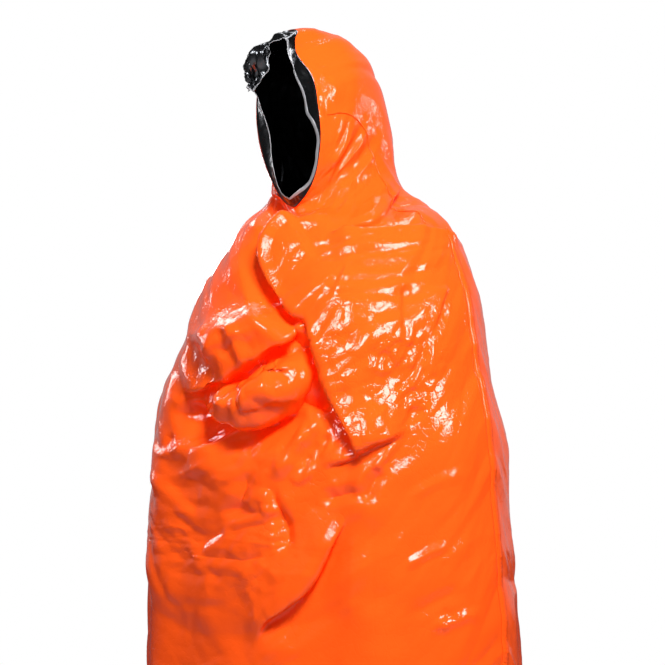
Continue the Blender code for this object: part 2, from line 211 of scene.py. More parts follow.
# The rim of the mouth: folds die out before it, and its near side strays sideways, by its place from
# the chin (0) to the top (1)
RIM_STAYS = 0.010
RIM_SWAY_REACH = 0.060
RIM_SWAY = (
    (0.00, 0.000), (0.15, 0.009), (0.32, 0.010), (0.55, 0.003),
    (0.72, -0.004), (0.86, -0.020), (0.95, -0.012), (1.00, 0.000),
)

# The lining past the orange film at the mouth, on the wearer's right and then on the left: (place from the
# chin (0) to the top (1), width, share inwards, share forwards, droop in degrees). Where it droops it is
# the visor, which is crumpled, and elsewhere a band that is tucked under the film's edge
MARGIN_RIGHT = (
    (0.00, 0.016, 0.70, 0.60, 0), (0.30, 0.021, 0.95, 0.25, 0), (0.55, 0.022, 0.90, 0.35, 0),
    (0.66, 0.020, 0.60, 0.60, 10), (0.76, 0.044, -0.40, 1.00, 90), (0.87, 0.078, -0.50, 1.00, 130),
    (0.97, 0.072, -0.30, 1.00, 135), (0.993, 0.046, 0.00, 1.00, 90), (1.00, 0.024, 0.00, 1.00, 40),
)
MARGIN_LEFT = (
    (0.00, 0.014, 0.70, 0.60, 0), (0.10, 0.005, 0.90, 0.10, 0), (0.34, 0.003, 0.90, 0.10, 0),
    (0.46, 0.009, 0.90, 0.10, 0), (0.58, 0.023, 0.90, 0.05, 0), (0.72, 0.027, 0.90, 0.05, 0),
    (0.87, 0.022, 0.90, 0.05, 0), (0.95, 0.019, 0.60, 0.60, 10), (1.00, 0.024, 0.00, 1.00, 40),
)
VISOR_DROOPS = (20, 60)
VISOR_SWEEP = 0.45
VISOR_CURL = 0.5
BAND_CRUMPLE = 0.04
MARGIN_TUCK = 0.3
MARGIN_TUCKED_TO = 0.2

# The crumple of the visor: (folds a metre, height)
MARGIN_SEED = 21
MARGIN_CRUMPLE = ((26.0, 0.016), (60.0, 0.007), (150.0, 0.0022))

# The hanging folds of the skirt: how deep, how many, and the heights between which they begin and end
HANGING_DEPTH = 0.010
HANGING_COUNT = 9
HANGING_PHASE = math.pi / 3
HANGING_BEGINS = (0.05, 0.50)
HANGING_ENDS = (1.25, 1.50)

# Flat facets that handling leaves: (seed, size, stretch, turn, height), all over the film at full share,
# and then in the bunch at the hands
FACET_TABLE = 61
FACETS = (
    (41, 0.085, 1.8, 0.50, 0.0105), (42, 0.040, 1.8, -0.30, 0.0050), (43, 0.018, 1.8, 0.80, 0.0012),
)
BUNCH_FACETS = ((51, 0.018, 4.5, 0.80, 0.0062), (52, 0.034, 1.8, 2.30, 0.0030))
BUNCH_MIDDLE = (-0.115, 1.345)
BUNCH_REACH = (0.085, 0.060)
BUNCH_STOPS = (1.3, 0.7)

# Straight creases: (seed, count, length, height, width, heading in radians, spread). The first are all over
# the film, and the rest are where it is gathered, as seen, with a middle and a reach before them
LONG_CREASES = (11, 500, (0.06, 0.24), (0.0006, 0.0020), (0.006, 0.016), 0.0, 1.5)
SHORT_CREASES = (12, 3500, (0.015, 0.07), (0.0002, 0.0009), (0.0025, 0.006), math.pi / 4, 1.2)
SEEN_CREASES = (
    ((-0.115, 1.350), (0.090, 0.075), 61, 110, (0.03, 0.10), (0.0012, 0.0044), (0.0040, 0.0070), 0.85, 0.30),
    ((-0.150, 1.140), (0.130, 0.180), 62, 130, (0.04, 0.15), (0.0005, 0.0020), (0.0035, 0.0070), 0.20, 0.80),
    ((0.010, 1.640), (0.070, 0.090), 63, 40, (0.04, 0.10), (0.0005, 0.0018), (0.0030, 0.0060), 0.95, 0.25),
    ((0.050, 1.510), (0.150, 0.060), 64, 45, (0.10, 0.22), (0.0006, 0.0016), (0.0035, 0.0065), 0.14, 0.10),
    ((0.080, 1.350), (0.120, 0.090), 65, 60, (0.03, 0.10), (0.0004, 0.0013), (0.0030, 0.0060), 0.60, 0.70),
)

# Where the film is crumpled most, as seen: middle (across, height), reach and how much
Zone = namedtuple("Zone", "middle reach share")
CRUMPLE_EVERYWHERE = 0.42
CRUMPLE_BEHIND = 0.45
CRUMPLE_SEEN = (-0.05, 0.20)
CRUMPLE_ZONES = (
    Zone(middle=(-0.11, 1.34), reach=(0.09, 0.06), share=0.70),
    Zone(middle=(-0.10, 1.45), reach=(0.06, 0.04), share=0.40),
    Zone(middle=(0.08, 1.37), reach=(0.10, 0.06), share=0.25),
    Zone(middle=(0.01, 1.71), reach=(0.06, 0.05), share=-0.30),
    Zone(middle=(-0.13, 1.13), reach=(0.12, 0.14), share=0.55),
)

# How squarely the film has to face the viewpoint to take the drawn folds, in part and whole, and patches
FACING = (0.02, 0.30)
FACING_LEAST = 0.03


def linear(hexadecimal):
    """An sRGB colour such as #FF6A1E as linear red, green, blue and alpha."""
    parts = [int(hexadecimal[i : i + 2], 16) / 255 for i in (1, 3, 5)]
    return [p / 12.92 if p <= 0.04045 else ((p + 0.055) / 1.055) ** 2.4 for p in parts] + [1.0]


def eased(low, high, value):
    """From 0 at the low value to 1 at the high one, level at both ends. High may be the lesser."""
    t = np.clip((value - low) / (high - low), 0.0, 1.0)
    return t * t * (3 - 2 * t)


def unit(vectors):
    """The same directions at length 1."""
    return vectors / np.maximum(np.linalg.norm(vectors, axis=-1, keepdims=True), 1e-9)


def turned(across, up, angle):
    """The same places along and beside a way that is turned up from level by an angle."""
    cosine, sine = math.cos(angle), math.sin(angle)
    return across * cosine + up * sine, up * cosine - across * sine


def off_middle(across, height, middle, reach):
    """How far off a middle a place is, where 1 is the reach."""
    return np.hypot((across - middle[0]) / reach[0], (height - middle[1]) / reach[1])


def smooth_between(stops, values, at):
    """Values along a smooth curve through the stops, with no overshoot where they turn back."""
    stops, values, at = (np.asarray(a, float) for a in (stops, values, at))
    slope = np.diff(values) / np.diff(stops)
    tangent = np.concatenate([[slope[0]], (slope[:-1] + slope[1:]) / 2, [slope[-1]]])
    turning = np.concatenate([[False], slope[:-1] * slope[1:] <= 0, [False]])
    tangent[turning] = 0.0
    index = np.clip(np.searchsorted(stops, at, side="right") - 1, 0, len(slope) - 1)
    width = stops[index + 1] - stops[index]
    t = np.clip((at - stops[index]) / width, 0.0, 1.0)
    low, high = values[index], values[index + 1]
    bend_low, bend_high = tangent[index] * width, tangent[index + 1] * width
    return (
        low * (2 * t**3 - 3 * t**2 + 1)
        + bend_low * (t**3 - 2 * t**2 + t)
        + high * (3 * t**2 - 2 * t**3)
        + bend_high * (t**3 - t**2)
    )


def column_angles():
    """Angles round the bag from the wearer's right side seam, through the front (0) and the left, which
    has more of the front's columns because the viewpoint is on that side."""
    middle = FRONT_COLUMNS - round(FRONT_COLUMNS * LEFT_SHARE)
    front = np.interp(np.arange(FRONT_COLUMNS), (0, middle, FRONT_COLUMNS), (-math.pi / 2, 0, math.pi / 2))
    back = np.linspace(math.pi / 2, 3 * math.pi / 2, BACK_COLUMNS + 1)[:-1]
    return np.concatenate([front, back])


def section_ring(section, opened, angles):
    """The closed outline of the bag where one section cuts it."""
    front_y, front_z, back_y, back_z, left, right = section
    along = (1 - np.cos(angles)) / 2
    side = np.where(np.sin(angles) > 0, left, right)
    x = side * np.sin(angles) * (1 - CHIN_POINT * opened * (1 - along) ** 2)
    y = front_y + (back_y - front_y) * along - CHEEK_BULGE * opened * np.sin(angles) ** 2
    z = front_z + (back_z - front_z) * along
    return np.stack([x, y, z], axis=1)


def bag_rings():
    """The smooth bag, from the foot seam to the mouth, as rows x columns x 3."""
    angles = column_angles()
    levels = [(-one.front, one.height, one.back, one.height, one.left, one.right) for one in LEVELS]
    sections = np.array(levels + [(*one.throat, *one.top, one.left, one.right) for one in FANS])
    stops = np.arange(len(sections))
    shoulder, mouth = LEVELS.index(SHOULDER), len(sections) - 1
    edge = section_ring(sections[0], 0.0, angles)
    seam = edge * SOLE_LINE
    rings = [seam + share * (edge - seam) for share in np.linspace(0, 1, SOLE_ROWS + 1)[:-1]]
    heights = [one.height for one in LEVELS]
    level = np.linspace(0, SHOULDER.height, ROW_SAMPLES)
    spacing = ROW_AT_FOOT + (ROW_ABOVE_HIPS - ROW_AT_FOOT) * eased(KNEE.height, HIP.height, level)
    counted = np.concatenate([[0], np.cumsum(np.diff(level) / spacing[1:])])
    rows = np.interp(np.linspace(0, counted[-1], LEVEL_ROWS + 1)[:-1], counted, level)
    hood = np.linspace(shoulder, mouth, HOOD_ROWS + 1)
    for place in np.concatenate([np.interp(rows, heights, stops[: shoulder + 1]), hood]):
        section = [float(smooth_between(stops, column, place)) for column in sections.T]
        opened = float(eased(stops[-len(FANS)], mouth, place))
        rings.append(section_ring(section, opened, angles))
    return np.array(rings)


def outward(points):
    """The outward direction at each point of a grid that closes round its columns."""
    around = np.roll(points, -1, axis=1) - np.roll(points, 1, axis=1)
    along = np.gradient(points, axis=0)
    return unit(np.cross(around, along))


def as_seen(points):
    """Where points show from the viewpoint, as (across, height) on the upright plane of the axis."""
    scale = VIEW_DISTANCE / (points @ AHEAD + VIEW_DISTANCE)
    across = (points @ SIDEWAYS - VIEW_ASIDE) * scale + VIEW_ASIDE
    height = (points[..., 2] - VIEW_HEIGHT) * scale + VIEW_HEIGHT
    return across, height


def curved(line, points_between=6):
    """A drawn line made smooth: more points along a curve through its own points."""
    line = np.asarray(line, float)
    if len(line) < 3:
        return line
    ends = np.concatenate([[2 * line[0] - line[1]], line, [2 * line[-1] - line[-2]]])
    made = []
    for before, start, end, after in zip(ends, ends[1:], ends[2:], ends[3:]):
        for t in np.linspace(0, 1, points_between, endpoint=False):
            made.append(
                0.5 * (2 * start + (end - before) * t
                       + (2 * before - 5 * start + 4 * end - after) * t**2
                       + (3 * start - before - 3 * end + after) * t**3)
            )
    return np.array(made + [line[-1]])


def faceted(across, up, seed, size, stretch=1.0, turn=0.0):
    """Heights from -1 to 1 of a sheet that is crumpled into flat triangles between scattered points:
    size is how far apart the points are, and stretch how much farther along the turned way."""
    x, y = turned(across, up, turn)
    x, y = x / (size * stretch), y / size
    drawn = np.random.default_rng(seed)
    shift = drawn.uniform(0, 2 * math.pi, 6)
    x, y = (
        x + 0.30 * np.sin(2.3 * y + shift[0]) + 0.22 * np.sin(1.1 * x + 3.1 * y + shift[1]),
        y + 0.30 * np.sin(2.1 * x + shift[2]) + 0.22 * np.sin(2.9 * x - 1.3 * y + shift[3]),
    )
    tall = drawn.uniform(-1, 1, (FACET_TABLE, FACET_TABLE))
    falls = drawn.random((FACET_TABLE, FACET_TABLE)) < 0.5
    column, row = np.floor(x).astype(int), np.floor(y).astype(int)
    x, y = x - column, y - row
    here, there = column % FACET_TABLE, (column + 1) % FACET_TABLE
    low, high = row % FACET_TABLE, (row + 1) % FACET_TABLE
    a, b, c, d = tall[low, here], tall[low, there], tall[high, here], tall[high, there]
    falling = np.where(x + y < 1, a + (b - a) * x + (c - a) * y, d + (c - d) * (1 - x) + (b - d) * (1 - y))
    rising = np.where(x > y, a + (b - a) * x + (d - b) * y, a + (d - c) * x + (c - a) * y)
    return np.where(falls[low, here], falling, rising)


def from_line(across, height, line, reach):
    """Signed distance to a line (+ on its left), the share of its length, and its direction there.
    Points farther off than reach are left out through the mask that is returned first."""
    line = curved(line)
    low, high = line.min(axis=0) - reach, line.max(axis=0) + reach
    near = (across > low[0]) & (across < high[0]) & (height > low[1]) & (height < high[1])
    a, h = across[near], height[near]
    lengths = np.linalg.norm(np.diff(line, axis=0), axis=1)
    before = np.concatenate([[0.0], np.cumsum(lengths)])
    best = np.full(a.shape, np.inf)
    signed, share = np.zeros(a.shape), np.zeros(a.shape)
    heading = np.zeros(a.shape + (2,))
    for start, end, covered, length in zip(line[:-1], line[1:], before, lengths):
        run = (end - start) / length
        da, dh = a - start[0], h - start[1]
        t = np.clip(da * run[0] + dh * run[1], 0.0, length)
        away = np.hypot(da - t * run[0], dh - t * run[1])
        side = np.where(run[0] * dh - run[1] * da >= 0, 1.0, -1.0)
        nearer = away < best
        best = np.where(nearer, away, best)
        signed = np.where(nearer, away * side, signed)
        share = np.where(nearer, (covered + t) / before[-1], share)
        heading[nearer] = run
    return near, signed, share, heading


class Drape:
    """The relief and the sideways shift that folds give to the smooth bag, as one view sees it."""

    def __init__(self, points, normal):
        self.points, self.normal = points, normal
        self.across, self.height = as_seen(points)
        self.facing = eased(*FACING, -(normal @ AHEAD))
        self.relief = np.zeros(points.shape[:2])
        self.shift = np.zeros(points.shape[:2] + (2,))

    def rise(self, line, height, width, taper, sharp=False):
        """A ridge along a line, or a valley where height is below 0: soft, or two flat sides that meet
        in a sharp crest. It fades over a share of its length at both ends."""
        near, signed, share, _ = from_line(self.across, self.height, line, RIDGE_REACH * width)
        fade = eased(0, taper, share) * eased(0, taper, 1 - share)
        flat_sides = np.clip(1 - np.abs(signed) / (2 * width), 0, None)
        profile = flat_sides if sharp else np.exp(-((signed / width) ** 2))
        self.relief[near] += height * fade * profile

    def lap(self, line, height, hollow, step, overlap, spread, shade, taper):
        """A lap: the film on the left of the line stands over the film on its right, and hides it."""
        reach = LAP_REACH * max(spread, shade)
        near, signed, share, heading = from_line(self.across, self.height, line, reach)
        fade = eased(0, taper, share) * eased(0, taper, 1 - share)
        over = height * np.clip(1 - np.maximum(signed, 0) / (LAP_FALL * spread), 0, None)
        under = -hollow * np.clip(1 + np.minimum(signed, 0) / (LAP_FALL * shade), 0, None)
        upper = eased(-step, step, signed)
        self.relief[near] += fade * (under + (over - under) * upper)
        inside = np.clip(signed / (2 * step), -1, 1)
        slide = -overlap * fade * np.sin(math.pi * inside) * (np.abs(inside) < 1)
        self.shift[near, 0] += slide * -heading[:, 1]
        self.shift[near, 1] += slide * heading[:, 0]

    def settle(self, share):
        """Takes all folds down to a share of themselves, point by point."""
        self.relief *= share
        self.shift *= share[..., None]

    def result(self):
        """The points with all folds on them."""
        moved = self.points + self.normal * (self.relief * self.facing)[..., None]
        sideways = self.shift * self.facing[..., None]
        return moved + sideways[..., :1] * SIDEWAYS + sideways[..., 1:] * UPWARDS


# The main folds as the viewpoint sees them. A point is (across, height) on the plane of the axis
SLEEVE_EDGE = (
    (-0.057, 1.577), (-0.076, 1.565), (-0.091, 1.546), (-0.099, 1.521),
    (-0.095, 1.495), (-0.083, 1.469), (-0.059, 1.441), (-0.042, 1.425),
)
PANEL_TOP = (
    (0.179, 1.532), (0.154, 1.549), (0.115, 1.556), (0.066, 1.556), (0.017, 1.556), (-0.017, 1.551),
)
ARM_EDGE = (
    (-0.220, 1.325), (-0.193, 1.333), (-0.171, 1.341), (-0.144, 1.355),
    (-0.120, 1.372), (-0.092, 1.386), (-0.067, 1.403), (-0.052, 1.420),
)
BUNCH_EDGE = (
    (-0.217, 1.320), (-0.186, 1.304), (-0.158, 1.291), (-0.133, 1.287), (-0.106, 1.292),
    (-0.083, 1.304), (-0.066, 1.322), (-0.055, 1.347), (-0.052, 1.386),
)
NEAR_LOWER_EDGE = (
    (-0.056, 1.438), (-0.039, 1.420), (-0.028, 1.393), (-0.021, 1.369),
    (-0.011, 1.339), (-0.001, 1.309), (0.022, 1.263), (0.034, 1.218),
)
APRON_TOP = ((-0.014, 1.298), (-0.046, 1.305), (-0.077, 1.308), (-0.106, 1.292))
ELBOW_EDGE = (
    (-0.028, 1.214), (-0.015, 1.224), (0.018, 1.234), (0.049, 1.250), (0.083, 1.264), (0.102, 1.288),
)
MAIN_SKIRT_FOLD = (
    (-0.120, 0.965), (-0.101, 1.000), (-0.074, 1.021), (-0.039, 1.057),
    (-0.010, 1.109), (0.008, 1.143), (0.013, 1.162),
)
POCKET_LIP = ((-0.118, 1.285), (-0.148, 1.274), (-0.175, 1.257), (-0.196, 1.245), (-0.206, 1.262))
NEAR_FOREARM = ((0.125, 1.345), (0.087, 1.386), (0.003, 1.456), (-0.067, 1.498))
FAR_FOREARM = ((-0.207, 1.383), (-0.137, 1.407), (-0.067, 1.449))
BUNCH_ROLL = ((-0.196, 1.318), (-0.137, 1.313), (-0.074, 1.355))
CAVITY = ((-0.221, 1.322), (-0.193, 1.288), (-0.144, 1.260), (-0.074, 1.295), (-0.018, 1.316))
HOOD_LAP = ((0.010, 1.566), (0.040, 1.571), (0.060, 1.580), (0.080, 1.600), (0.094, 1.622))

# How far a ridge and a lap reach, in widths or spreads, and how far a lap's height and hollow do
RIDGE_REACH = 4
LAP_REACH = 3
LAP_FALL = 1.8

# What lies under the film there: (line, height, width, taper)
FORMS = (
    (NEAR_FOREARM, 0.016, 0.060, 0.35), (FAR_FOREARM, 0.026, 0.036, 0.30),
    (BUNCH_ROLL, 0.018, 0.024, 0.30), (CAVITY, -0.018, 0.026, 0.30),
)

# Laps: (line, height over it, hollow under it, step, overlap, spread of the height, of the hollow, taper)
LAPS = (
    (SLEEVE_EDGE, 0.013, 0.026, 0.006, 0.010, 0.060, 0.022, 0.10),
    (PANEL_TOP, 0.006, 0.014, 0.005, 0.005, 0.040, 0.020, 0.15),
    (ARM_EDGE, 0.014, 0.030, 0.007, 0.012, 0.040, 0.026, 0.12),
    (BUNCH_EDGE, 0.012, 0.024, 0.007, 0.010, 0.030, 0.030, 0.12),
    (NEAR_LOWER_EDGE, 0.016, 0.022, 0.007, 0.008, 0.050, 0.026, 0.25),
    (APRON_TOP, 0.006, 0.008, 0.005, 0.003, 0.030, 0.016, 0.20),
    (ELBOW_EDGE, 0.010, 0.006, 0.007, 0.003, 0.040, 0.030, 0.30),
    (MAIN_SKIRT_FOLD, 0.018, 0.012, 0.007, 0.008, 0.032, 0.030, 0.25),
    (POCKET_LIP, 0.008, 0.014, 0.006, 0.005, 0.024, 0.022, 0.20),
    (HOOD_LAP, 0.004, 0.015, 0.0042, 0.0040, 0.026, 0.020, 0.25),
)

# Creases: (line, height, width), standing out where height is above 0
PANEL_FAN = (
    (((-0.059, 1.526), (-0.011, 1.532), (0.059, 1.540), (0.150, 1.546)), -0.0014, 0.0045),
    (((-0.053, 1.509), (0.003, 1.518), (0.073, 1.526), (0.157, 1.535)), -0.0016, 0.0045),
    (((-0.046, 1.491), (0.010, 1.498), (0.087, 1.509), (0.160, 1.523)), -0.0016, 0.0050),
    (((-0.053, 1.476), (0.003, 1.476), (0.073, 1.484), (0.143, 1.501)), -0.0015, 0.0050),
    (((-0.053, 1.462), (0.010, 1.460), (0.087, 1.462), (0.150, 1.470)), -0.0020, 0.0055),
    (((-0.053, 1.538), (0.022, 1.5435), (0.087, 1.549)), 0.0006, 0.0040),
    (((-0.056, 1.518), (0.028, 1.5280), (0.087, 1.534)), 0.0007, 0.0045),
    (((-0.050, 1.501), (-0.012, 1.5060), (0.094, 1.519)), 0.0007, 0.0045),
    (((-0.046, 1.484), (0.034, 1.4895), (0.101, 1.498)), 0.0007, 0.0050),
    (((-0.039, 1.468), (0.002, 1.4685), (0.101, 1.474)), 0.0008, 0.0050),
    (((-0.020, 1.448), (0.040, 1.438), (0.110, 1.436)), -0.0009, 0.0060),
    (((0.030, 1.420), (0.090, 1.424), (0.150, 1.440)), 0.0009, 0.0070),
)
HOOD_FOLDS = (
    (((-0.036, 1.613), (-0.018, 1.640), (0.004, 1.672), (0.017, 1.704), (0.026, 1.742)), 0.0070, 0.0075),
    (((-0.021, 1.650), (-0.008, 1.664), (0.006, 1.684), (0.014, 1.706), (0.018, 1.725)), -0.0075, 0.0045),
    (((-0.020, 1.612), (0.002, 1.636), (0.024, 1.664), (0.038, 1.690), (0.044, 1.722)), 0.0070, 0.0085),
    (((-0.014, 1.629), (0.008, 1.652), (0.023, 1.676), (0.031, 1.702)), -0.0065, 0.0045),
    (((0.000, 1.618), (0.022, 1.642), (0.042, 1.668), (0.056, 1.698)), -0.0080, 0.0065),
    (((0.014, 1.616), (0.036, 1.640), (0.056, 1.668), (0.066, 1.698)), 0.0060, 0.0090),
    (((0.060, 1.684), (0.053, 1.656), (0.044, 1.628)), -0.0060, 0.0070),
    (((0.090, 1.650), (0.072, 1.622), (0.048, 1.598), (0.020, 1.586)), 0.0050, 0.0090),
    (((-0.049, 1.789), (-0.042, 1.803), (-0.028, 1.815)), 0.0040, 0.0040),
    (((-0.050, 1.800), (-0.042, 1.785), (-0.036, 1.765)), -0.0045, 0.0050),
    (((-0.036, 1.790), (-0.024, 1.778), (-0.014, 1.760)), 0.0030, 0.0060),
    (((-0.011, 1.826), (0.020, 1.809), (0.039, 1.789), (0.048, 1.767)), 0.0040, 0.0100),
    (((-0.031, 1.757), (-0.022, 1.725), (-0.024, 1.690)), 0.0035, 0.0060),
    (((-0.012, 1.778), (-0.005, 1.752), (-0.008, 1.724)), 0.0030, 0.0075),
    (((-0.038, 1.721), (-0.031, 1.717), (-0.022, 1.718)), -0.0030, 0.0040),
    (((-0.016, 1.600), (0.008, 1.612), (0.030, 1.618)), 0.0030, 0.0080),
)
BUNCH_FOLDS = (
    (((-0.055, 1.430), (-0.054, 1.386), (-0.056, 1.352)), 0.0080, 0.0070),
    (((-0.178, 1.326), (-0.151, 1.311), (-0.129, 1.290)), 0.0045, 0.0050),
    (((-0.136, 1.334), (-0.124, 1.314), (-0.113, 1.292)), -0.0030, 0.0040),
    (((-0.118, 1.327), (-0.104, 1.314), (-0.088, 1.304)), 0.0040, 0.0040),
    (((-0.111, 1.316), (-0.084, 1.330), (-0.062, 1.344)), 0.0070, 0.0055),
    (((-0.092, 1.376), (-0.087, 1.358), (-0.080, 1.341)), 0.0045, 0.0045),
    (((-0.108, 1.372), (-0.104, 1.356), (-0.096, 1.338)), -0.0060, 0.0060),
    (((-0.046, 1.404), (-0.044, 1.380), (-0.048, 1.350)), -0.010, 0.008),
    (((-0.182, 1.328), (-0.157, 1.323), (-0.138, 1.298)), 0.008, 0.009),
    (((-0.133, 1.426), (-0.127, 1.399), (-0.119, 1.374)), 0.007, 0.007),
    (((-0.134, 1.426), (-0.149, 1.399), (-0.176, 1.354)), 0.006, 0.008),
    (((-0.134, 1.414), (-0.138, 1.396), (-0.146, 1.370)), -0.007, 0.009),
    (((-0.116, 1.366), (-0.104, 1.372), (-0.092, 1.370)), 0.007, 0.005),
    (((-0.084, 1.394), (-0.092, 1.384), (-0.100, 1.372)), 0.006, 0.006),
    (((-0.069, 1.398), (-0.072, 1.372), (-0.077, 1.350)), 0.007, 0.006),
    (((-0.207, 1.304), (-0.176, 1.292), (-0.143, 1.283)), -0.008, 0.008),
    (((-0.205, 1.412), (-0.185, 1.402), (-0.160, 1.404)), 0.005, 0.008),
    (((-0.216, 1.372), (-0.200, 1.360), (-0.192, 1.340)), -0.002, 0.006),
)
SKIRT_FOLDS = (
    (((-0.095, 1.201), (-0.090, 1.176), (-0.076, 1.143), (-0.070, 1.092)), -0.012, 0.007),
    (((-0.098, 1.193), (-0.095, 1.173), (-0.092, 1.152)), 0.008, 0.005),
    (((-0.154, 1.138), (-0.123, 1.147), (-0.094, 1.152)), 0.005, 0.004),
    (((-0.129, 1.218), (-0.127, 1.194), (-0.137, 1.169), (-0.154, 1.148)), -0.008, 0.008),
    (((-0.028, 1.175), (0.006, 1.182), (0.039, 1.192)), -0.009, 0.008),
    (((0.038, 1.168), (0.048, 1.194), (0.062, 1.222)), -0.009, 0.008),
    (((0.020, 1.176), (0.031, 1.204), (0.050, 1.229)), 0.005, 0.008),
    (((-0.250, 1.104), (-0.193, 1.098), (-0.123, 1.092), (-0.071, 1.101)), -0.002, 0.006),
    (((-0.245, 1.117), (-0.207, 1.110), (-0.137, 1.110), (-0.077, 1.119)), 0.002, 0.009),
    (((-0.252, 1.073), (-0.186, 1.071), (-0.113, 1.066)), -0.002, 0.006),
    (((-0.263, 1.040), (-0.207, 1.028), (-0.148, 1.036)), -0.0015, 0.006),
    (((-0.260, 1.224), (-0.235, 1.189), (-0.206, 1.152), (-0.185, 1.127)), 0.004, 0.005),
    (((-0.249, 1.236), (-0.218, 1.218), (-0.172, 1.187), (-0.148, 1.176)), -0.0012, 0.005),
    (((-0.211, 1.316), (-0.207, 1.281), (-0.202, 1.249)), -0.012, 0.010),
    (((-0.218, 1.299), (-0.213, 1.260), (-0.224, 1.229)), 0.008, 0.009),
    (((-0.045, 1.288), (-0.053, 1.260), (-0.076, 1.224), (-0.092, 1.201)), 0.007, 0.006),
    (((-0.031, 1.283), (-0.038, 1.249), (-0.059, 1.218)), -0.006, 0.010),
    (((0.048, 1.176), (0.049, 1.092), (0.050, 0.994)), -0.006, 0.022),
    (((0.020, 1.148), (0.020, 1.071), (0.017, 0.994)), 0.006, 0.022),
    (((0.090, 1.078), (0.122, 1.098), (0.160, 1.115)), 0.003, 0.005),
    (((0.092, 1.176), (0.143, 1.201), (0.185, 1.218)), 0.002, 0.006),
    (((0.087, 1.008), (0.129, 1.028), (0.190, 1.053)), -0.003, 0.008),
    (((0.126, 0.993), (0.160, 1.005), (0.195, 1.021)), 0.005, 0.006),
)
COLLAR_FOLDS = (
    (((-0.100, 1.622), (-0.078, 1.600), (-0.058, 1.578)), -0.006, 0.004),
    (((-0.096, 1.612), (-0.075, 1.590), (-0.060, 1.574)), 0.004, 0.003),
    (((-0.104, 1.612), (-0.085, 1.588), (-0.066, 1.570)), -0.005, 0.004),
    (((-0.071, 1.560), (-0.040, 1.568), (-0.018, 1.577)), 0.006, 0.006),
    (((-0.103, 1.547), (-0.094, 1.535)), -0.004, 0.004),
)
CREASE_TAPERS = (
    (HOOD_FOLDS, 0.50), (PANEL_FAN, 0.30), (BUNCH_FOLDS, 0.30), (SKIRT_FOLDS, 0.30), (COLLAR_FOLDS, 0.30),
)

# The small folds in a patch: their length, width and most height, how far their middles stray, how far
# one leans at most and strays from it, and how few points are too few for one
PATCH_SEED = 31
FOLD_LONG = 0.026
FOLD_SHORT = 0.0115
FOLD_MOST = 0.008
FOLD_SHIFT = (0.5, 0.4)
FOLD_LEAN = 0.36
FOLD_JITTER = 0.018
FOLD_POINTS = 3
LEAST_COSINE = 0.5

# Folds are drawn, kept and shaped so far from a patch's middle, where 1 is its reach, and the film is worked
# whole within it and least elsewhere
PATCH_SPAN = 1.4
PATCH_KEPT = 1.0
PATCH_ROUND_IT = 2.2
WORKED_LEAST = 0.4
WORKED_STOPS = (1.5, 1.0)

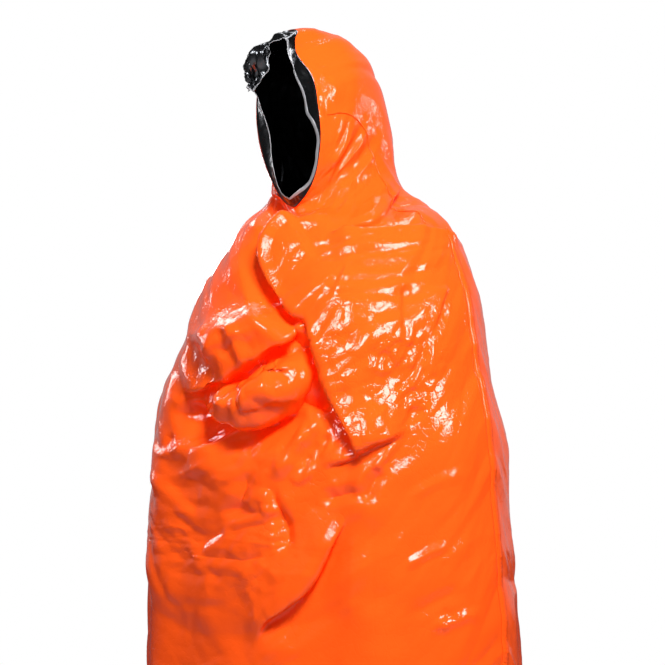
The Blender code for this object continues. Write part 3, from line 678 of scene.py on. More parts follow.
# Patches of small folds that face a lamp, as seen: middle (across, height), reach along and across,
# the turn of the long way up from level in degrees, the turn of the small folds, and the lamp
Patch = namedtuple("Patch", "middle reach turn grain lamp")
PATCHES = (
    Patch((-0.041, 1.549), (0.024, 0.009), 20, 25, LEFT_LAMP),
    Patch((-0.056, 1.514), (0.018, 0.009), 68, 40, LEFT_LAMP),
    Patch((0.005, 1.451), (0.021, 0.008), 12, 60, LEFT_LAMP),
    Patch((0.138, 1.446), (0.020, 0.010), 24, 70, RIGHT_LAMP),
    Patch((0.134, 1.428), (0.013, 0.007), 0, 60, RIGHT_LAMP),
    Patch((0.000, 1.396), (0.031, 0.017), 48, 50, LEFT_LAMP),
    Patch((0.010, 1.354), (0.020, 0.014), 10, 40, LEFT_LAMP),
    Patch((0.092, 1.388), (0.048, 0.020), 28, 75, RIGHT_LAMP),
    Patch((0.144, 1.370), (0.018, 0.006), 70, 60, RIGHT_LAMP),
    Patch((0.106, 1.327), (0.034, 0.017), 14, 60, RIGHT_LAMP),
    Patch((0.106, 1.291), (0.020, 0.008), 60, 60, RIGHT_LAMP),
    Patch((0.083, 1.262), (0.011, 0.007), 50, 60, RIGHT_LAMP),
    Patch((0.003, 1.316), (0.024, 0.007), -66, -60, LEFT_LAMP),
    Patch((0.024, 1.266), (0.036, 0.014), -62, -70, LEFT_LAMP),
    Patch((-0.001, 1.241), (0.020, 0.010), 60, 60, LEFT_LAMP),
    Patch((0.186, 1.424), (0.024, 0.008), -80, 60, SIDE_LAMP),
    Patch((0.195, 1.385), (0.018, 0.008), 70, -60, SIDE_LAMP),
    Patch((0.115, 1.576), (0.014, 0.006), 8, 20, TOP_LAMP),
    Patch((0.140, 1.497), (0.013, 0.004), 18, 20, RIGHT_LAMP),
    Patch((-0.058, 1.256), (0.012, 0.010), 30, 60, LEFT_LAMP),
    Patch((-0.127, 1.446), (0.016, 0.010), 60, 50, LEFT_LAMP),
    Patch((-0.098, 1.437), (0.024, 0.014), -20, 60, LEFT_LAMP),
    Patch((-0.160, 1.440), (0.018, 0.006), 30, 30, LEFT_LAMP),
    Patch((-0.199, 1.345), (0.024, 0.007), 50, 50, LEFT_LAMP),
    Patch((-0.169, 1.360), (0.009, 0.006), 60, 60, LEFT_LAMP),
    Patch((-0.155, 1.393), (0.012, 0.004), 70, 70, LEFT_LAMP),
    Patch((-0.075, 1.334), (0.010, 0.005), 10, 20, LEFT_LAMP),
    Patch((-0.094, 1.330), (0.012, 0.005), 40, 40, LEFT_LAMP),
    Patch((-0.229, 1.252), (0.018, 0.013), 60, 60, FAR_LEFT_LAMP),
    Patch((-0.042, 1.206), (0.022, 0.011), 14, 50, LEFT_LAMP),
    Patch((-0.237, 1.113), (0.030, 0.007), -18, -20, FAR_LEFT_LAMP),
    Patch((-0.109, 1.129), (0.017, 0.007), 50, 50, LEFT_LAMP),
    Patch((-0.133, 1.056), (0.024, 0.009), 22, 40, LEFT_LAMP),
    Patch((-0.134, 1.037), (0.012, 0.009), -60, -60, LEFT_LAMP),
    Patch((0.004, 1.146), (0.013, 0.006), 60, 60, LEFT_LAMP),
    Patch((0.158, 1.006), (0.036, 0.007), 24, 24, RIGHT_LAMP),
    Patch((0.032, 1.620), (0.007, 0.006), 60, 60, RIGHT_LAMP),
)


def lamp_place(lamp):
    """Where a lamp stands."""
    aside, raised = math.radians(lamp.turned), math.radians(lamp.raised)
    level = SIDEWAYS * math.sin(aside) - AHEAD * math.cos(aside)
    return np.array(LAMPS_AIM) + lamp.distance * (level * math.cos(raised) + UPWARDS * math.sin(raised))


def evened(field):
    """A closed grid made smooth over its next rows and columns."""
    soft = (np.roll(field, 1, 1) + 2 * field + np.roll(field, -1, 1)) / 4
    soft[1:-1] = (soft[:-2] + 2 * soft[1:-1] + soft[2:]) / 4
    return soft


def strewn_folds(patch, span, drawn):
    """The middles of the small folds in and round a patch, on a shaken grid, and which are in it."""
    count = int(span / FOLD_SHORT) + 1
    steps = np.arange(-count, count + 1)
    long, short = np.meshgrid(steps * FOLD_LONG, steps * FOLD_SHORT)
    long = long + drawn.uniform(-FOLD_SHIFT[0], FOLD_SHIFT[0], long.shape) * FOLD_LONG
    short = short + drawn.uniform(-FOLD_SHIFT[1], FOLD_SHIFT[1], short.shape) * FOLD_SHORT
    across, height = turned(long.ravel(), short.ravel(), -math.radians(patch.grain))
    away = off_middle(*turned(across, height, math.radians(patch.turn)), (0.0, 0.0), patch.reach)
    close = away < PATCH_ROUND_IT
    return across[close], height[close], away[close] < PATCH_KEPT


def with_patches(points, normal):
    """Breaks each patch of the film into small flat folds that mirror its lamp to the viewpoint."""
    across, height = as_seen(points)
    facing = -(normal @ AHEAD)
    drawn = np.random.default_rng(PATCH_SEED)
    relief, worked = np.zeros(across.shape), np.zeros(across.shape)
    for patch in PATCHES:
        span = patch.reach[0] * PATCH_SPAN + FOLD_LONG
        a, h = across - patch.middle[0], height - patch.middle[1]
        near = (np.abs(a) < span) & (np.abs(h) < span) & (facing > FACING_LEAST)
        a, h, spots, outs = a[near], h[near], points[near], normal[near]
        folds_a, folds_h, kept = strewn_folds(patch, span, drawn)
        long, short = turned(a[:, None] - folds_a, h[:, None] - folds_h, math.radians(patch.grain))
        fold_there = np.argmin((long / FOLD_LONG) ** 2 + (short / FOLD_SHORT) ** 2, axis=1)
        made = np.zeros(len(a))
        for index in np.flatnonzero(kept):
            mine = fold_there == index
            if mine.sum() < FOLD_POINTS:
                continue
            spot, out = spots[mine].mean(axis=0), unit(outs[mine].mean(axis=0))
            mirror = unit(unit(VIEWPOINT - spot) + unit(lamp_place(patch.lamp) - spot))
            lean = out - mirror / max(mirror @ out, LEAST_COSINE) + drawn.normal(0, FOLD_JITTER, 3)
            if np.linalg.norm(lean) < FOLD_LEAN:
                made[mine] = FOLD_MOST * np.tanh((spots[mine] - spot) @ lean / FOLD_MOST)
        relief[near] = np.where(made != 0, made, relief[near])
        inside = off_middle(*turned(a, h, math.radians(patch.turn)), (0.0, 0.0), patch.reach)
        worked[near] = np.maximum(worked[near], eased(*WORKED_STOPS, inside))
    return points + normal * evened(relief)[..., None], np.maximum(worked, WORKED_LEAST)


def unrolled(points):
    """Each point's place on the film as if it were laid flat: (round the bag, up the bag), in metres."""
    steps = np.linalg.norm(np.diff(points, axis=1, append=points[:, :1]), axis=2)
    around = np.concatenate([np.zeros((len(points), 1)), np.cumsum(steps, axis=1)[:, :-1]], axis=1)
    around -= around[:, FRONT_COLUMNS // 2][:, None]
    climbs = np.linalg.norm(np.diff(points, axis=0), axis=2)
    up = np.concatenate([np.zeros((1, points.shape[1])), np.cumsum(climbs, axis=0)])
    return around, up


def creased(around, up, weight, seed, count, length, height, width, heading, spread):
    """The relief of many short straight creases, each with a sharp crest, strewn over the film. Half of
    them stand out and half sink in."""
    order = np.argsort(up, axis=None)
    a, u, w = around.ravel()[order], up.ravel()[order], weight.ravel()[order]
    drawn = np.random.default_rng(seed)
    chance = np.cumsum(w)
    made = np.zeros(a.shape)
    for _ in range(count):
        middle = min(np.searchsorted(chance, drawn.random() * chance[-1]), len(a) - 1)
        half = drawn.uniform(*length) / 2
        tall = drawn.uniform(*height) * (1 if drawn.random() < 0.5 else -1)
        wide = drawn.uniform(*width)
        turn = drawn.normal(heading, spread)
        reach = max(half, 4 * wide)
        low, high = np.searchsorted(u, (u[middle] - reach, u[middle] + reach))
        da, du = a[low:high] - a[middle], u[low:high] - u[middle]
        close = np.abs(da) < reach
        along, beside = turned(da[close], du[close], turn)
        profile = np.exp(-np.abs(beside) / wide) * np.clip(1 - (along / half) ** 2, 0, None) ** 2
        made[np.arange(low, high)[close]] += tall * profile
    relief = np.zeros(a.shape)
    relief[order] = made * w / max(w.max(), 1e-9)
    return relief.reshape(around.shape)


def crumple_share(points, normal):
    """How much of the full crumple each point of the film has."""
    across, height = as_seen(points)
    share = np.full(across.shape, CRUMPLE_EVERYWHERE)
    for zone in CRUMPLE_ZONES:
        share += zone.share * np.exp(-off_middle(across, height, zone.middle, zone.reach) ** 2)
    seen = eased(*CRUMPLE_SEEN, -(normal @ AHEAD))
    return CRUMPLE_BEHIND + (share - CRUMPLE_BEHIND) * seen


def lowest_nearby(field, reach):
    """The lowest value of a closed grid within so many rows and columns of each point, made smooth."""
    low = field.copy()
    for _ in range(reach):
        low = np.minimum(low, np.minimum(np.roll(low, 1, 1), np.roll(low, -1, 1)))
        low[1:-1] = np.minimum(low[1:-1], np.minimum(low[:-2], low[2:]))
    for _ in range(reach):
        low = evened(low)
    return low


def draped(points, normal, near_rim):
    """The smooth bag with what lies under the film, its laps and its creases drawn on it."""
    drape = Drape(points, normal)
    for form in FORMS:
        drape.rise(*form)
    for lap in LAPS:
        drape.lap(*lap)
    for folds, taper in CREASE_TAPERS:
        for fold in folds:
            drape.rise(*fold, taper, sharp=True)
    drape.settle(near_rim)
    return drape


def crumpled(drape, around, up, bunched, near_rim):
    """The height of all facets and straight creases at each point of the film."""
    share = crumple_share(drape.points, drape.normal)
    facets = sum(tall * faceted(around, up, *kind) for *kind, tall in FACETS) * share
    facets += sum(tall * faceted(drape.across, drape.height, *kind) for *kind, tall in BUNCH_FACETS) * bunched
    creases = creased(around, up, share, *LONG_CREASES)
    fine = creased(around, up, share, *SHORT_CREASES)
    for middle, reach, *kind in SEEN_CREASES:
        away = off_middle(drape.across, drape.height, middle, reach)
        where = eased(0.0, 0.5, 1.0 - away) * drape.facing + 1e-6
        fine += creased(drape.across, drape.height, where, *kind)
    return facets * near_rim + creases + fine


Film = namedtuple("Film", "points normal around up worked inner")


@functools.lru_cache(maxsize=1)
def film_form(crumple):
    """The film's outer surface with all its folds and creases, its outward directions, its flat map, how
    much small wrinkles have worked it, and the surface of the lining inside it."""
    plain = bag_rings()
    normal = outward(plain)
    around, up = unrolled(plain)
    from_rim = up[-1] - up
    near_rim = eased(0.0, RIM_STAYS, from_rim)
    off_rim = eased(0.0, RIM_SWAY_REACH, from_rim)
    drape = draped(plain, normal, near_rim)

    angles, height = column_angles()[None, :], plain[..., 2]
    sway = smooth_between(*np.transpose(RIM_SWAY), (1 - np.cos(angles)) / 2) * eased(0.0, 0.5, np.sin(angles))
    skirt = eased(*HANGING_BEGINS, height) * (1 - eased(*HANGING_ENDS, height))
    hanging = HANGING_DEPTH * skirt * np.sin(HANGING_COUNT * angles + HANGING_PHASE) * np.sin(2 * angles) ** 2
    pulled = np.exp(-np.abs(around - around[:, FRONT_COLUMNS][:, None]) / SEAM_FOLD_WIDTH)
    pulled = SEAM_FOLD * pulled * (1 - eased(*SEAM_FOLD_ENDS, height))
    away = off_middle(drape.across, drape.height, BUNCH_MIDDLE, BUNCH_REACH)
    bunched = eased(*BUNCH_STOPS, away) * drape.facing

    shaped = drape.result() + (sway * (1 - off_rim))[..., None] * SIDEWAYS
    shaped = shaped + normal * (hanging * np.abs(np.cos(angles)) ** 0.5 + pulled)[..., None]
    relief = crumple * crumpled(drape, around, up, bunched, near_rim)
    shaped = shaped + outward(shaped) * relief[..., None]
    shaped, worked = with_patches(shaped, outward(shaped))
    shaped[..., 2] = np.maximum(shaped[..., 2], 0.0)

    stood = np.einsum("ijk,ijk->ij", shaped - plain, normal)
    slack = plain + normal * (lowest_nearby(stood, SLACK_REACH) - SLACK)[..., None]
    close = shaped - outward(shaped) * LINING_GAP
    lapped = -lowest_nearby(-np.linalg.norm(drape.shift, axis=2) * drape.facing, 2 * SLACK_REACH)
    loose = np.maximum(eased(*SLACK_WHERE_LAPPED, lapped), eased(*SLACK_WHERE_BUNCHED, bunched))
    inner = close + (slack - close) * (off_rim * loose)[..., None]
    return Film(shaped, outward(shaped), around, up, worked, inner)


def margin_values(table, place):
    """The width, the two shares and the droop of a margin at places between its table's rows."""
    stops, *columns = np.transpose(table)
    return [smooth_between(stops, column, place) for column in columns]


@functools.lru_cache(maxsize=1)
def margin_form(crumple):
    """The rings of the lining past the orange film: a band round the face, and over the brow a bunched
    visor that sweeps to the wearer's right and droops."""
    film = film_form(crumple)
    out = film.normal[-1]
    rim = film.points[-1] - out * LINING_GAP
    angles = column_angles()
    place, left = (1 - np.cos(angles)) / 2, np.sin(angles) > 0
    sides = zip(margin_values(MARGIN_LEFT, place), margin_values(MARGIN_RIGHT, place))
    width, inwards, forwards, droop = (np.where(left, *values) for values in sides)
    visor = eased(*VISOR_DROOPS, droop)
    centre = np.array([0.0, rim[:, 1].mean(), rim[:, 2].mean()])
    into = unit(centre - rim)
    ahead = unit(np.array([0.0, -1.0, 0.0]) + np.array([-VISOR_SWEEP, 0.0, 0.0]) * visor[:, None])
    way = unit(into * inwards[:, None] + ahead * forwards[:, None])
    curl = unit(into - VISOR_CURL * UPWARDS)
    rings, tip = [], rim
    for step in (np.arange(MARGIN_ROWS) + 0.5) / MARGIN_ROWS:
        bent = np.radians(droop)[:, None] * step
        first = unit(way * (1 - MARGIN_TUCK) - out * MARGIN_TUCK) if step < MARGIN_TUCKED_TO else way
        tip = tip + unit(first * np.cos(bent) + curl * np.sin(bent)) * (width / MARGIN_ROWS)[:, None]
        rings.append(tip)
    rings = np.array(rings)
    drawn = np.random.default_rng(MARGIN_SEED)
    relief = np.zeros(rings.shape[:2])
    for scale, height in MARGIN_CRUMPLE:
        shift = drawn.uniform(-10, 10, 3)
        field = np.array([[noise.noise(Vector(point * scale + shift)) for point in ring] for ring in rings])
        relief += (0.4 - 2 * np.abs(field)) * height
    steps = ((np.arange(MARGIN_ROWS) + 1) / MARGIN_ROWS)[:, None]
    relief *= crumple * (BAND_CRUMPLE + (1 - BAND_CRUMPLE) * visor) * np.sqrt(steps)
    return rings + outward(np.concatenate([rim[None], rings]))[1:] * relief[..., None]


def grid_mesh(name, points, around, up, worked=None):
    """A mesh of quads over a grid of points, with a map of the flat film in metres, and how much small
    wrinkles have worked the film there."""
    rows, columns = points.shape[:2]
    index = np.arange(rows * columns).reshape(rows, columns)
    corners = index[:-1, :-1], index[:-1, 1:], index[1:, 1:], index[1:, :-1]
    faces = np.stack(corners, axis=-1).reshape(-1, 4)
    mesh = bpy.data.meshes.new(name)
    mesh.vertices.add(rows * columns)
    mesh.vertices.foreach_set("co", points.reshape(-1).astype(np.float32))
    mesh.loops.add(faces.size)
    mesh.loops.foreach_set("vertex_index", faces.reshape(-1).astype(np.int32))
    mesh.polygons.add(len(faces))
    mesh.polygons.foreach_set("loop_start", np.arange(0, faces.size, 4, dtype=np.int32))
    flat = np.stack([around.reshape(-1), up.reshape(-1)], axis=1)[faces.reshape(-1)]
    layer = mesh.uv_layers.new(name="flat_film")
    layer.data.foreach_set("uv", flat.reshape(-1).astype(np.float32))
    if worked is not None:
        field = mesh.attributes.new("worked", "FLOAT", "POINT")
        field.data.foreach_set("value", worked.reshape(-1).astype(np.float32))
    mesh.update()
    mesh.validate()
    mesh.shade_smooth()
    return mesh


def strip_mesh(name, lines, ribs=None):
    """A closed solid from lines of points along a strip, the last of them the same as the first, with
    the strip's ribs if it has any."""
    up, around = np.indices(lines.shape[:2]) * STRIP_MAP
    mesh = grid_mesh(name, lines, around, up)
    bm = bmesh.new()
    bm.from_mesh(mesh)
    bmesh.ops.remove_doubles(bm, verts=bm.verts, dist=STRIP_CLOSED_WITHIN)
    bmesh.ops.holes_fill(bm, edges=bm.edges)
    bmesh.ops.recalc_face_normals(bm, faces=bm.faces)
    if ribs:
        bm.from_mesh(ribs)
    bm.to_mesh(mesh)
    bm.free()
    return mesh


def add_object(name, data):
    """A new object in the scene."""
    made = bpy.data.objects.new(name, data)
    bpy.context.scene.collection.objects.link(made)
    return made


def add_piece(name, mesh, material, node):
    """A finished piece: at the origin, on the bag's one body, standing for its node."""
    mesh.materials.clear()
    mesh.materials.append(material)
    piece = add_object(name, mesh)
    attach(piece, "root")
    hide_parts(node)
    return piece


def panel_mesh(name, first, count, points, around, up, worked=None):
    """One panel's columns of the closed grids, both of its edges included. The back ends on the grids'
    first column, so the last column's place on the flat film is worked out from the one before it."""
    columns = np.arange(first, first + count + 1) % points.shape[1]
    points, flat = points[:, columns], around[:, columns]
    flat[:, -1] = flat[:, -2] + np.linalg.norm(points[:, -1] - points[:, -2], axis=1)
    return grid_mesh(name, points, flat, up[:, columns], None if worked is None else worked[:, columns])


def add_node(tree, kind, links=(), **settings):
    """A node with its inputs and properties set, and links made from (output, input name)."""
    made = tree.nodes.new(kind)
    for key, value in settings.items():
        if hasattr(made, key):
            setattr(made, key, value)
        else:
            made.inputs[key.replace("_", " ")].default_value = value
    for output, name in links:
        tree.links.new(output, made.inputs[name])
    return made


def new_material(name, **settings):
    """A material, its nodes and its shader, which has its inputs set and is linked to its output."""
    made = bpy.data.materials.new(name)
    made.use_nodes = True
    tree = made.node_tree
    tree.nodes.clear()
    shader = add_node(tree, "ShaderNodeBsdfPrincipled", **settings)
    add_node(tree, "ShaderNodeOutputMaterial", [(shader.outputs["BSDF"], "Surface")])
    return made, tree, shader


def per_metre(spacing):
    """A pattern's scale on Object coordinates, which are in metres, from its spacing in millimetres."""
    return 1000.0 / spacing


def ridged(tree, place, spacing, detail, distortion):
    """The output of a noise folded about its middle, so that it has sharp valleys."""
    cloud = add_node(
        tree, "ShaderNodeTexNoise", [(place, "Vector")],
        Scale=per_metre(spacing), Detail=detail, Roughness=0.5, Distortion=distortion,
    )
    centred = add_node(tree, "ShaderNodeMath", [(cloud.outputs["Fac"], 0)], operation="SUBTRACT")
    centred.inputs[1].default_value = 0.5
    folded = add_node(tree, "ShaderNodeMath", [(centred.outputs["Value"], 0)], operation="ABSOLUTE")
    return folded.outputs["Value"]


def handled_creases(tree, place):
    """The output of a net of fine grooves that handling leaves, deepest where the film is worked. The
    cells stray from straight edges, and are drawn as coarse as the render needs to show them."""
    bend = add_node(
        tree, "ShaderNodeTexNoise", [(place, "Vector")],
        Scale=per_metre(CREASE_STRAY), Detail=1.0, Roughness=0.5,
    )
    bent = add_node(
        tree, "ShaderNodeVectorMath", [(bend.outputs["Color"], 0)], operation="SCALE", Scale=0.010,
    )
    strayed = add_node(
        tree, "ShaderNodeVectorMath", [(place, 0), (bent.outputs["Vector"], 1)], operation="ADD",
    )
    cells = add_node(
        tree, "ShaderNodeTexVoronoi", [(strayed.outputs["Vector"], "Vector")],
        feature="DISTANCE_TO_EDGE", Scale=per_metre(CREASE_CELL), Randomness=1.0,
    )
    grooves = add_node(
        tree, "ShaderNodeMapRange", [(cells.outputs["Distance"], "Value")],
        From_Min=0.0, From_Max=0.10, To_Min=0.0, To_Max=1.0,
    )
    worked = add_node(tree, "ShaderNodeAttribute", attribute_name="worked")
    grooved = add_node(
        tree, "ShaderNodeMath", [(grooves.outputs["Result"], 0), (worked.outputs["Fac"], 1)],
        operation="MULTIPLY",
    )
    return grooved.outputs["Value"]


def orange_film_material(colour):
    """Blown polyethylene film, pigmented orange and calendered to a high gloss. It has a clear skin over
    a solid colour, and handling leaves it covered with fine creases that break up its highlights. It
    has a painted red glow, an emission that shows where the film lies in shade and reddens its folds."""
    # The emission is painted light: a red glow that lightens and reddens the shade in the film's folds
    made, tree, shader = new_material(
        "orange_polyethylene_film", Roughness=0.085, IOR=1.51,
        Emission_Color=FILM_PAINTED_GLOW, Emission_Strength=0.18,
    )
    place = add_node(tree, "ShaderNodeTexCoord").outputs["Object"]
    cloud = add_node(
        tree, "ShaderNodeTexNoise", [(place, "Vector")],
        Scale=per_metre(FILM_CLOUD), Detail=2.0, Roughness=0.5,
    )
    shade = add_node(tree, "ShaderNodeMixRGB", [(cloud.outputs["Fac"], "Fac")])
    for name, share in zip(("Color1", "Color2"), FILM_SHADES):
        shade.inputs[name].default_value = [min(1.0, c * share) for c in colour[:3]] + [1.0]
    tree.links.new(shade.outputs["Color"], shader.inputs["Base Color"])
    wrinkled = add_node(
        tree, "ShaderNodeBump", [(ridged(tree, place, FILM_WRINKLE, 2.0, 1.2), "Height")],
        Strength=0.32, Distance=0.0010,
    )
    rippled = add_node(
        tree, "ShaderNodeBump",
        [(ridged(tree, place, FILM_RIPPLE, 1.0, 0.8), "Height"), (wrinkled.outputs["Normal"], "Normal")],
        Strength=0.22, Distance=0.0005,
    )
    grooved = add_node(
        tree, "ShaderNodeBump",
        [(handled_creases(tree, place), "Height"), (rippled.outputs["Normal"], "Normal")],
        Strength=0.5, Distance=0.0005,
    )
    tree.links.new(grooved.outputs["Normal"], shader.inputs["Normal"])
    return made


def lining_material(colour):
    """Polyethylene with aluminium evaporated on to it: a mirror that is crumpled all over, so it shows
    dark room and white lamps side by side in streaks. Its colour is far darker than bright aluminium,
    which paints its reflections near black."""
    made, tree, shader = new_material(
        "metallised_lining_film", Base_Color=colour, Metallic=1.0, Roughness=0.22,
    )
    place = add_node(tree, "ShaderNodeTexCoord").outputs["Object"]
    facets = add_node(
        tree, "ShaderNodeTexVoronoi", [(place, "Vector")],
        feature="F1", Scale=per_metre(LINING_FACET), Randomness=1.0,
    )
    faceted_skin = add_node(
        tree, "ShaderNodeBump", [(facets.outputs["Distance"], "Height")], Strength=0.5, Distance=0.002,
    )
    ripple = add_node(
        tree, "ShaderNodeTexNoise", [(place, "Vector")],
        Scale=per_metre(LINING_RIPPLE), Detail=3.0, Roughness=0.5, Distortion=0.8,
    )
    rippled = add_node(
        tree, "ShaderNodeBump",
        [(ripple.outputs["Fac"], "Height"), (faceted_skin.outputs["Normal"], "Normal")],
        Strength=0.35, Distance=0.001,
    )
    tree.links.new(rippled.outputs["Normal"], shader.inputs["Normal"])
    return made


def hem_material(colour):
    """A narrow strip of clear film over the metallised edge, milky white where it is welded."""
    made, tree, shader = new_material("pale_hem_film", Base_Color=colour, Metallic=0.35, Roughness=0.28)
    place = add_node(tree, "ShaderNodeTexCoord").outputs["Object"]
    ripple = add_node(
        tree, "ShaderNodeTexNoise", [(place, "Vector")], Scale=per_metre(HEM_RIPPLE), Detail=3.0,
    )
    rippled = add_node(
        tree, "ShaderNodeBump", [(ripple.outputs["Fac"], "Height")], Strength=0.4, Distance=0.001,
    )
    tree.links.new(rippled.outputs["Normal"], shader.inputs["Normal"])
    return made


class BagSizes(bpy.types.PropertyGroup):
    crumple: bpy.props.FloatProperty(
        name="Crumple", description="Depth of the film's creases, as a share of the real one",
        default=1.0, min=0.0, max=3.0,
    )
    hem_width: bpy.props.FloatProperty(
        name="Hem width", description="Width of the pale hem round the mouth",
        default=0.005, min=0.002, max=0.02, subtype="DISTANCE", unit="LENGTH",
    )


class BagColours(bpy.types.PropertyGroup):
    film: bpy.props.FloatVectorProperty(
        name="Film", description="Colour of the outer film", size=4, subtype="COLOR",
        default=linear("#FF5A16"), min=0.0, max=1.0,
    )
    # Far darker than bright aluminium: a painted dark reflection, so the lining reads near black with glints
    lining: bpy.props.FloatVectorProperty(
        name="Lining", description="Colour of the metallised lining", size=4, subtype="COLOR",
        default=linear("#6A6C70"), min=0.0, max=1.0,
    )
    hem: bpy.props.FloatVectorProperty(
        name="Hem", description="Colour of the hem round the mouth", size=4, subtype="COLOR",
        default=linear("#9C9CA0"), min=0.0, max=1.0,
    )


class BAG_OT_film_panels(bpy.types.Operator):
    """Makes the two orange film panels"""

    bl_idname = "bag.film_panels"
    bl_label = "Film panels"

    def execute(self, context):
        sizes, colours = context.scene.bag_sizes, context.scene.bag_colours
        form = film_form(sizes.crumple)
        film = orange_film_material(list(colours.film))
        for side, first, count in PANELS:
            name = f"{side}_film_panel"
            mesh = panel_mesh(name, first, count, form.points, form.around, form.up, form.worked)
            piece = add_piece(name, mesh, film, f"{side}_film")
        return {"FINISHED"}


class BAG_OT_linings(bpy.types.Operator):
    """Makes the two metallised linings inside the film, and the pale hem along their edge"""

    bl_idname = "bag.linings"
    bl_label = "Linings and hem"

    def execute(self, context):
        sizes, colours = context.scene.bag_sizes, context.scene.bag_colours
        form, margin = film_form(sizes.crumple), margin_form(sizes.crumple)
        inner = np.concatenate([form.inner, margin])
        climbs = np.linalg.norm(np.diff(inner[-MARGIN_ROWS - 1 :], axis=0), axis=2)
        around = np.concatenate([form.around, np.repeat(form.around[-1:], MARGIN_ROWS, axis=0)])
        up = np.concatenate([form.up, form.up[-1:] + np.cumsum(climbs, axis=0)])
        hem = self.hem(inner, sizes.hem_width, hem_material(list(colours.hem)))
        lining = lining_material(list(colours.lining))
        for side, first, count in PANELS:
            name = f"{side}_lining_panel"
            mesh = panel_mesh(name, first, count, inner, around, up)
            mesh.flip_normals()
            piece = add_piece(name, mesh, lining, f"{side}_lining")
        return {"FINISHED"}

    def hem(self, inner, width, material):
        """A flat strip folded over the lining's cut edge, with a rounded section."""
        edge = inner[-1]
        along = unit(edge - inner[-3])
        across = unit(np.cross(np.roll(edge, -1, 0) - np.roll(edge, 1, 0), along))
        near = eased(*HEM_FAR_SIDE, np.sin(column_angles()))[:, None]
        width = width * (HEM_FAR_SHARE + (1 - HEM_FAR_SHARE) * near)
        middle = edge + along * (width / 2 - HEM_OVERLAP)
        along, across = along * width, across * HEM_THICKNESS
        turn = np.linspace(0, 2 * math.pi, HEM_POINTS, endpoint=False)
        wide, thick = (
            np.sign(wave) * np.abs(wave) ** power / 2
            for wave, power in zip((np.cos(turn), np.sin(turn)), HEM_SQUARENESS)
        )
        lines = np.array([middle + along * w + across * t for w, t in zip(wide, thick)])
        lines = np.concatenate([lines, lines[:1]])
        mesh = strip_mesh("mouth_hem_strip", np.concatenate([lines, lines[:, :1]], axis=1))
        return add_piece("mouth_hem_strip", mesh, material, "mouth_hem")


def rib_tree():
    """Repeats a rib along a line of points, square to it, at the line's own outward direction."""
    tree = bpy.data.node_groups.new("weld_ribs", "GeometryNodeTree")
    tree.interface.new_socket("Geometry", in_out="INPUT", socket_type="NodeSocketGeometry")
    for label in ("Spacing", "Length", "Thickness"):
        tree.interface.new_socket(label, in_out="INPUT", socket_type="NodeSocketFloat")
    tree.interface.new_socket("Material", in_out="INPUT", socket_type="NodeSocketMaterial")
    tree.interface.new_socket("Geometry", in_out="OUTPUT", socket_type="NodeSocketGeometry")
    given = add_node(tree, "NodeGroupInput").outputs
    line = add_node(tree, "GeometryNodeMeshToCurve", [(given["Geometry"], "Mesh")])
    spaced = add_node(
        tree, "GeometryNodeResampleCurve", [(line.outputs["Curve"], "Curve"), (given["Spacing"], "Length")],
        mode="LENGTH",
    )
    size = add_node(
        tree, "ShaderNodeCombineXYZ",
        [(given["Length"], "X"), (given["Thickness"], "Y"), (given["Thickness"], "Z")],
    )
    rib = add_node(tree, "GeometryNodeMeshCube", [(size.outputs["Vector"], "Size")])
    away = add_node(tree, "GeometryNodeInputNamedAttribute", data_type="FLOAT_VECTOR", Name="away")
    tangent = add_node(tree, "GeometryNodeInputTangent")
    along = add_node(
        tree, "FunctionNodeAlignRotationToVector", [(away.outputs["Attribute"], "Vector")], axis="X",
    )
    square = add_node(
        tree, "FunctionNodeAlignRotationToVector",
        [(along.outputs["Rotation"], "Rotation"), (tangent.outputs["Tangent"], "Vector")],
        axis="Y", pivot_axis="X",
    )
    copies = add_node(
        tree, "GeometryNodeInstanceOnPoints",
        [
            (spaced.outputs["Curve"], "Points"), (rib.outputs["Mesh"], "Instance"),
            (square.outputs["Rotation"], "Rotation"),
        ],
    )
    real = add_node(tree, "GeometryNodeRealizeInstances", [(copies.outputs["Instances"], "Geometry")])
    finished = add_node(
        tree, "GeometryNodeSetMaterial",
        [(real.outputs["Geometry"], "Geometry"), (given["Material"], "Material")],
    )
    add_node(tree, "NodeGroupOutput", [(finished.outputs["Geometry"], "Geometry")])
    return tree


def weld_ribs(line, away, length, material):
    """The ribs that the sealing bar presses into a weld, as one mesh."""
    mesh = bpy.data.meshes.new("weld_line")
    mesh.from_pydata([tuple(point) for point in line], [(i, i + 1) for i in range(len(line) - 1)], [])
    field = mesh.attributes.new("away", "FLOAT_VECTOR", "POINT")
    field.data.foreach_set("vector", away.reshape(-1).astype(np.float32))
    holder = add_object("weld_line", mesh)
    tree = bpy.data.node_groups.get("weld_ribs") or rib_tree()
    modifier = holder.modifiers.new("ribs", "NODES")
    modifier.node_group = tree
    values = {"Spacing": RIB_SPACING, "Length": length, "Thickness": RIB_THICKNESS, "Material": material}
    for socket in tree.interface.items_tree:
        if socket.in_out == "INPUT" and socket.name in values:
            modifier[socket.identifier] = values[socket.name]
    evaluated = holder.evaluated_get(bpy.context.evaluated_depsgraph_get())
    made = bpy.data.meshes.new_from_object(evaluated)
    bpy.data.objects.remove(holder, do_unlink=True)
    return made


